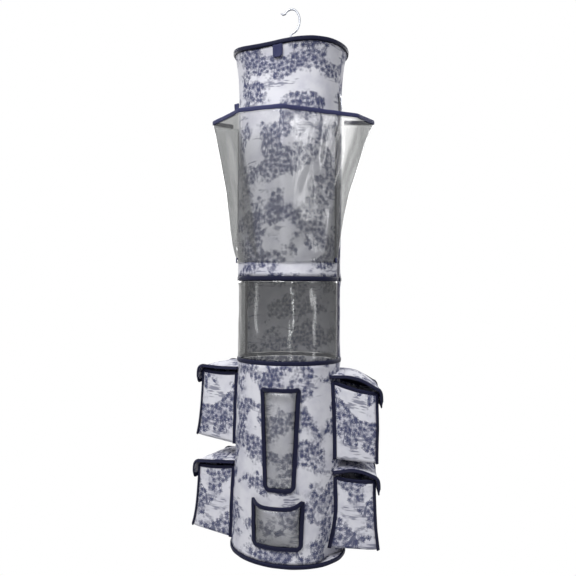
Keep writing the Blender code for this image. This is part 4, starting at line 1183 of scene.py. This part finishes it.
# Side pockets

def pocket_plan(count):
    """Sideways and outward shares along the panel, with a rounded outer fold."""
    fold = 1 - FOLD_SHARE
    side = [(1, share) for share in spread(0, fold, count)]
    for turn in spread(0, math.pi / 2, 6)[1:]:
        side.append((1 - FOLD_SHARE * (1 - math.cos(turn)), fold + FOLD_SHARE * math.sin(turn)))
    face = [(lateral, 1) for lateral in spread(fold, -fold, 2 * count)[1:-1]]
    return side + face + [(-lateral, reach) for lateral, reach in reversed(side)]


class SidePocket:
    """One side pocket: its frame of directions and its sizes, from its row of shares."""

    def __init__(self, name, side, base, height, droop, base_droop, rim_reach, base_reach, gape):
        self.name = name
        self.side = side
        self.half = POCKET_WIDTH / 2
        self.seed = base * 50 + side * 3
        self.azimuth = POCKET_MIDDLE_AZIMUTH + POCKET_AZIMUTH * side
        self.out = outward(self.azimuth)
        self.front = outward(self.azimuth - 90 * side)
        self.base_drop = BODY_HEIGHT * base
        self.rim_drop = self.base_drop - POCKET_HEIGHT * height
        self.droop = POCKET_DEPTH * droop
        self.base_droop = POCKET_DEPTH * base_droop
        self.rim_reach = POCKET_DEPTH * rim_reach
        self.base_reach = POCKET_DEPTH * base_reach
        self.gape = POCKET_DEPTH * gape
        wall = wall_radius(self.base_drop) + SEAM_GAP
        self.fold = math.sqrt(wall ** 2 - (self.half + FABRIC) ** 2)

    def place(self, reach, lateral, drop):
        return self.out * reach + self.front * lateral + UP * (TOP_Z - drop)

    def wall_reach(self, lateral, drop):
        """Outward distance of the wall's cloth at a sideways place, along all its folds."""
        reach = wall_radius(drop)
        for _ in range(20):
            azimuth = self.azimuth - self.side * math.degrees(math.atan2(lateral, reach))
            level = drop + wall_lift(azimuth, drop)
            stand = wall_stand(azimuth, level, LOWER_ENDS, FABRIC, LOWER_SEED)
            radius = wall_radius(level) - pinch(azimuth, level) + stand
            reach = math.sqrt(radius ** 2 - lateral ** 2)
        return reach

    def roots(self, drop, stand=0):
        """The wall's reach at the front (1) and rear (-1) gusset."""
        return {side: self.wall_reach(self.half * side, drop) + stand for side in (1, -1)}

    def far(self, share):
        """Outward distance of the outer face from rim (0) to base (1), which curls out at the base."""
        return self.fold + self.rim_reach + (self.base_reach - self.rim_reach) * share ** 3

    def rim_at(self, share):
        """The rim's drop: it dips a little between its wall seam and its outer fold."""
        return self.rim_drop + self.droop * share + RIM_SLACK * 4 * share * (1 - share)

    def base_at(self, reach):
        """The base turns up or down towards its outer edge."""
        share = max(reach - self.fold, 0) / self.base_reach
        return self.base_drop + self.base_droop * share

    def facing(self, lateral, face):
        """From sideways on a gusset (0) to outwards on the outer face (1)."""
        return self.out * face + self.front * math.copysign(1 - face, lateral)

    def hinge(self):
        """Reach and drop of the flap's fold line beside the wall."""
        reach = wall_radius(self.rim_drop) + SEAM_GAP + HINGE_GAP
        return reach, self.rim_drop - FLAP_LIFT - POCKET_TAPE_WIDTH

    def flap_sag(self, reach, drop, across):
        """How far the lid's free sides hang below its middle, down to a little above the mouth."""
        share = min(max((reach - self.fold) / self.rim_reach, 0), 1)
        edge = self.rim_at(share) - POCKET_TAPE_WIDTH - FLAP_EDGE_GAP - self.gape * math.sin(math.pi * share)
        return max(edge - drop, 0) * abs(across) ** 2.5


def make_pocket(pocket, toile, navy):
    """The panel of two gussets and an outer face, which bellies out, with its base and binding."""
    plan = pocket_plan(14)
    rows = []
    for share in spread(0, 1, 26):
        roots = pocket.roots(pocket.rim_drop + (pocket.base_drop - pocket.rim_drop) * share)
        belly = math.sin(math.pi * share)
        row = []
        for lateral, reach_share in plan:
            top = pocket.rim_at(reach_share) + POCKET_TAPE_WIDTH / 2 - GAP
            bottom = pocket.base_at(pocket.fold + pocket.base_reach * reach_share) - FABRIC
            near = roots[1 if lateral > 0 else -1]
            reach = near + (pocket.far(share) - near) * reach_share
            point = pocket.place(reach, pocket.half * lateral, top + (bottom - top) * share)
            face = smooth_step((reach_share - 0.9) / 0.1)
            amount = unevenness(point, pocket.seed) * 0.7 + POCKET_BELLY * belly * (0.4 + 0.6 * face)
            free = smooth_step(reach_share / 0.15) * belly
            row.append(point + pocket.facing(lateral, face) * amount * free)
        rows.append(row)
    panel = surface(f"{pocket.name}_pocket_cloth", rows, toile)
    belong(panel, toile, f"{pocket.name}_pocket")
    make_pocket_base(pocket, toile)
    trims = [make_pocket_rim(pocket, plan, navy)]
    for side in (1, -1):
        trims += make_pocket_edges(pocket, side, navy)
    declare(rows)


def make_pocket_base(pocket, toile):
    """The pocket's floor, cut to the wall on its inner side."""
    laterals = [pocket.half * across for across in spread(1, -1, 20)]
    nears = [(lateral, pocket.wall_reach(lateral, pocket.base_drop)) for lateral in laterals]

    def point(share, start):
        lateral, near = start
        tuck = 1 - FOLD_SHARE * 0.5 * smooth_step((share - 0.8) / 0.2)
        reach = near + (pocket.far(1) - near) * share
        return pocket.place(reach, lateral * tuck, pocket.base_at(reach) - FABRIC / 2)

    rows = grid(spread(0, 1, 12), nears, point)
    lay(f"{pocket.name}_base", rows, toile, "stretched", f"{pocket.name}_pocket_cloth", in_plan=True)


def make_pocket_rim(pocket, plan, navy):
    """The binding round the mouth."""
    roots = pocket.roots(pocket.rim_drop, FABRIC)
    line = []
    for lateral, share in plan:
        root = roots[1 if lateral > 0 else -1]
        reach = max(root + (pocket.far(0) - root) * share, root + TAPE_THICKNESS)
        face = smooth_step((share - 0.88) / 0.12) * 0.999
        point = pocket.place(reach, pocket.half * lateral, pocket.rim_at(share))
        line.append((point, pocket.facing(lateral, face)))
    rim = tape(f"{pocket.name}_rim_tape", line, navy, POCKET_TAPE_WIDTH)
    belong(rim, navy, f"{pocket.name}_trim")
    return rim


def make_pocket_edges(pocket, side, navy):
    """The binding down an outer fold and the one down beside the wall."""
    beside = FABRIC / 2 + TAPE_THICKNESS / 3
    fold = pocket.half * FOLD_SHARE * 0.3
    facing = (pocket.out + pocket.front * side).normalized()
    low = pocket.base_at(pocket.fold + pocket.base_reach)
    fold_line = []
    for share in spread(0, 1, 10):
        drop = pocket.rim_at(1) + (low - pocket.rim_at(1)) * share
        bow = POCKET_BELLY * 0.5 * math.sin(math.pi * share)
        point = pocket.place(pocket.far(share) - fold, (pocket.half - fold) * side, drop)
        fold_line.append((point + facing * (beside + bow), facing))
    lateral = (pocket.half + beside) * side
    root_line = []
    for drop in spread(pocket.rim_drop, pocket.base_drop, 10):
        near = pocket.wall_reach(lateral, drop) + POCKET_TAPE_WIDTH / 2
        root_line.append((pocket.place(near, lateral, drop), pocket.front * side))
    edges = []
    for word, line in (("fold", fold_line), ("root", root_line)):
        edge = tape(f"{pocket.name}_{word}_tape", line, navy, POCKET_TAPE_WIDTH)
        belong(edge, navy)
        edges.append(edge)
    return edges


def flap_profile(pocket):
    """Reach, drop and upward normal along a closed flap, from its fold down to its front edge."""
    near, start = pocket.hinge()
    far = pocket.far(0) + FLAP_MOUTH_GAP + FLAP_PROUD
    over = pocket.rim_at(1) - POCKET_TAPE_WIDTH / 2 - FLAP_MOUTH_GAP
    places = [(near + (far - near) * out, start + (over - start) * down) for out, down in FLAP_SHARES]
    places += [(far + FABRIC, over + FLAP_OVERHANG * share) for share in (0.35, 0.7, 1)]
    line = resample([(Vector((reach, 0, drop)), UP) for reach, drop in places], FLAP_STEP)
    run = soften([place for place, _ in line], 4)
    profile = []
    for k, place in enumerate(run):
        along = (run[min(k + 1, len(run) - 1)] - run[max(k - 1, 0)]).normalized()
        profile.append((place.x, place.z, pocket.out * along.z + UP * along.x))
    return profile


def bend_flap(piece, pocket, node):
    """Hide the frame node that a piece of the lid replaces and bake the piece's transform into its mesh."""
    reach, drop = pocket.hinge()
    start = pocket.place(reach, 0, drop)
    end = start + pocket.out * FLAP_BEND
    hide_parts(f"{pocket.name}_{node}")
    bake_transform(piece)


def make_flap(pocket, toile, navy):
    """The lid of a side pocket, bound on its three free edges."""
    profile = flap_profile(pocket)
    inner_share = 1 - POCKET_TAPE_WIDTH / 3 / FLAP_HALF_WIDTH
    rows = []
    for k, (reach, drop, facing) in enumerate(profile):
        row = []
        for share in spread(inner_share, -inner_share, 28):
            sagged = drop + pocket.flap_sag(reach, drop, share)
            point = pocket.place(reach, FLAP_HALF_WIDTH * share, sagged)
            row.append(point + facing * smooth_step(k / 4) * 0.8 * unevenness(point, pocket.seed + 9))
        rows.append(row)
    lid = surface(f"{pocket.name}_flap_cloth", rows, toile)
    bend_flap(lid, pocket, "flap")
    trim = tape(f"{pocket.name}_flap_tape", flap_edge(pocket, profile), navy, POCKET_TAPE_WIDTH)
    bend_flap(trim, pocket, "flap_trim")
    declare(rows)
    make_flap_root(pocket, toile)


def flap_edge(pocket, profile):
    """The line of the flap's binding: out along one side, across its end and back along the other."""
    edge = FLAP_HALF_WIDTH + GAP
    corner = edge - FLAP_CORNER
    first_drop = profile[0][1]
    end_reach, end_drop, _ = profile[-1]
    near = pocket.wall_reach(edge, first_drop) + TAPE_THICKNESS
    side = []
    for reach, drop, facing in [(near, first_drop, UP)] + profile:
        if drop < end_drop - FLAP_CORNER or reach < end_reach - FLAP_CORNER:
            side.append((reach, drop + pocket.flap_sag(reach, drop, 1), facing))
    line = [(pocket.place(reach, edge, drop), (up + pocket.front).normalized()) for reach, drop, up in side]
    for lateral in spread(corner, -corner, 12):
        wave = FLAP_WAVE * math.cos(lateral / edge * math.pi * 1.5)
        line.append((pocket.place(end_reach, lateral, end_drop + wave), pocket.out))
    for reach, drop, up in reversed(side):
        line.append((pocket.place(reach, -edge, drop), (up - pocket.front).normalized()))
    return line


def make_flap_root(pocket, toile):
    """The sewn edge of a flap, from the round wall to the straight fold."""
    hinge_reach, drop = pocket.hinge()
    half = FLAP_HALF_WIDTH - POCKET_TAPE_WIDTH / 3
    nears = [(half * across, pocket.wall_reach(half * across, drop)) for across in spread(1, -1, 28)]

    def point(share, start):
        lateral, near = start
        reach = near + (hinge_reach - near) * share
        sag = pocket.flap_sag(reach, drop, lateral / FLAP_HALF_WIDTH)
        return pocket.place(reach, lateral, drop + sag)

    rows = grid(spread(0, 1, 6), nears, point)
    lay(f"{pocket.name}_flap_root", rows, toile, "stretched", "lower_wall_cloth", in_plan=True)


# Studio

def make_lamp(name, azimuth, height, width, length, power):
    data = bpy.data.lights.new(name, "AREA")
    data.shape = "RECTANGLE"
    data.size = width
    data.size_y = length
    data.energy = power
    lamp = bpy.data.objects.new(name, data)
    lamp.location = around(azimuth, LIGHT_DISTANCE, CAMERA_Z + height)
    aim = Vector((0, 0, CAMERA_Z)) - lamp.location
    lamp.rotation_euler = aim.to_track_quat("-Z", "Y").to_euler()
    bpy.context.scene.collection.objects.link(lamp)


def make_world():
    """White where the camera, a reflection or clear film sees it, and an even light on the object."""
    world = bpy.data.worlds.new("studio")
    bpy.context.scene.world = world
    world.use_nodes = True
    tree = world.node_tree
    tree.nodes.clear()
    path = add_node(tree, "ShaderNodeLightPath")
    seen = path["Is Camera Ray"]
    for ray in ("Is Transmission Ray", "Is Glossy Ray"):
        seen = seen.math("MAXIMUM", path[ray])
    light = add_node(tree, "ShaderNodeBackground", {0: WORLD_COLOUR, 1: WORLD_STRENGTH})
    white = add_node(tree, "ShaderNodeBackground", {0: WHITE, 1: 1})
    add_node(tree, "ShaderNodeOutputWorld", {0: mixed_shaders(seen, light, white)})


def make_floor():
    mesh_data = bmesh.new()
    bmesh.ops.create_circle(mesh_data, cap_ends=True, segments=64, radius=FLOOR_RADIUS)
    bmesh.ops.translate(mesh_data, verts=mesh_data.verts, vec=(0, 0, -FLOOR_DROP))
    pale = grained_material("pale_floor", FLOOR_LIGHT, FLOOR_DARK, 0.8, FLOOR_GRAIN)
    link("floor", mesh_data, Finish(pale, None), smooth=False)


def make_camera():
    data = bpy.data.cameras.new("camera")
    data.sensor_width = CAMERA_SENSOR
    data.lens = CAMERA_SENSOR * CAMERA_LENS_SHARE
    data.clip_start = CAMERA_NEAR
    camera = bpy.data.objects.new("camera", data)
    side = outward(CAMERA_AZIMUTH + 90) * CAMERA_SIDE
    camera.location = around(CAMERA_AZIMUTH, CAMERA_DISTANCE, CAMERA_Z) + side
    turn = (-outward(CAMERA_AZIMUTH)).to_track_quat("-Z", "Y").to_euler()
    turn.rotate_axis("Z", math.radians(CAMERA_ROLL))
    camera.rotation_euler = turn
    bpy.context.scene.collection.objects.link(camera)
    bpy.context.scene.camera = camera


def main():
    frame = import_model()
    toile = Finish(toile_material(), "toile_fabric", FABRIC)
    navy = Finish(binding_material("navy_tape", NAVY, 0.5), "navy_binding")
    slate = Finish(binding_material("slate_tape", SLATE, 0.5), "slate_binding")
    film = Finish(vinyl_material(), "clear_vinyl", VINYL)
    chrome = Finish(metal_material(), "chrome")
    board = Finish(grained_material("grey_board", BOARD_LIGHT, BOARD_DARK, 0.8, BOARD_GRAIN), None)
    zipper_cloth = Finish(binding_material("zipper_cloth", ZIPPER_BLACK, 0.7), "zipper_tape", FABRIC)
    coil = Finish(grained_material("coil_teeth", COIL_LIGHT, COIL_DARK, 0.4, COIL_GRAIN), "zipper_teeth")
    make_hook(chrome)
    dress(frame, chrome, "top_grommet", "top_washer", "hook_nut", "zipper_top_stop", "zipper_bottom_stop")
    dress(frame, board, "top_board", "bottom_board")
    make_disc("top", spread(0.026, 1, 16), top_cover_z, top_rim_z, toile, navy)
    make_tab(slate)
    make_walls(toile, film)
    make_window_bindings(navy)
    make_zipper_tape("rear", 1, zipper_cloth)
    make_zipper_tape("front", -1, zipper_cloth)
    make_coil(coil)
    make_slider(chrome)
    make_clear_pocket(film, navy, slate)
    for name, *sizes in PATCHES:
        make_patch(name, sizes, film, navy)
    for shares in POCKET_SHARES:
        pocket = SidePocket(*shares)
        make_pocket(pocket, toile, navy)
        make_flap(pocket, toile, navy)
    make_disc("bottom", spread(0.02, 1, 12), bottom_cover_z, bottom_rim_z, toile, navy)
    make_world()
    for lamp in LAMPS:
        make_lamp(*lamp)
    make_floor()
    make_camera()


bpy.context.scene.view_settings.view_transform = "Standard"
main()
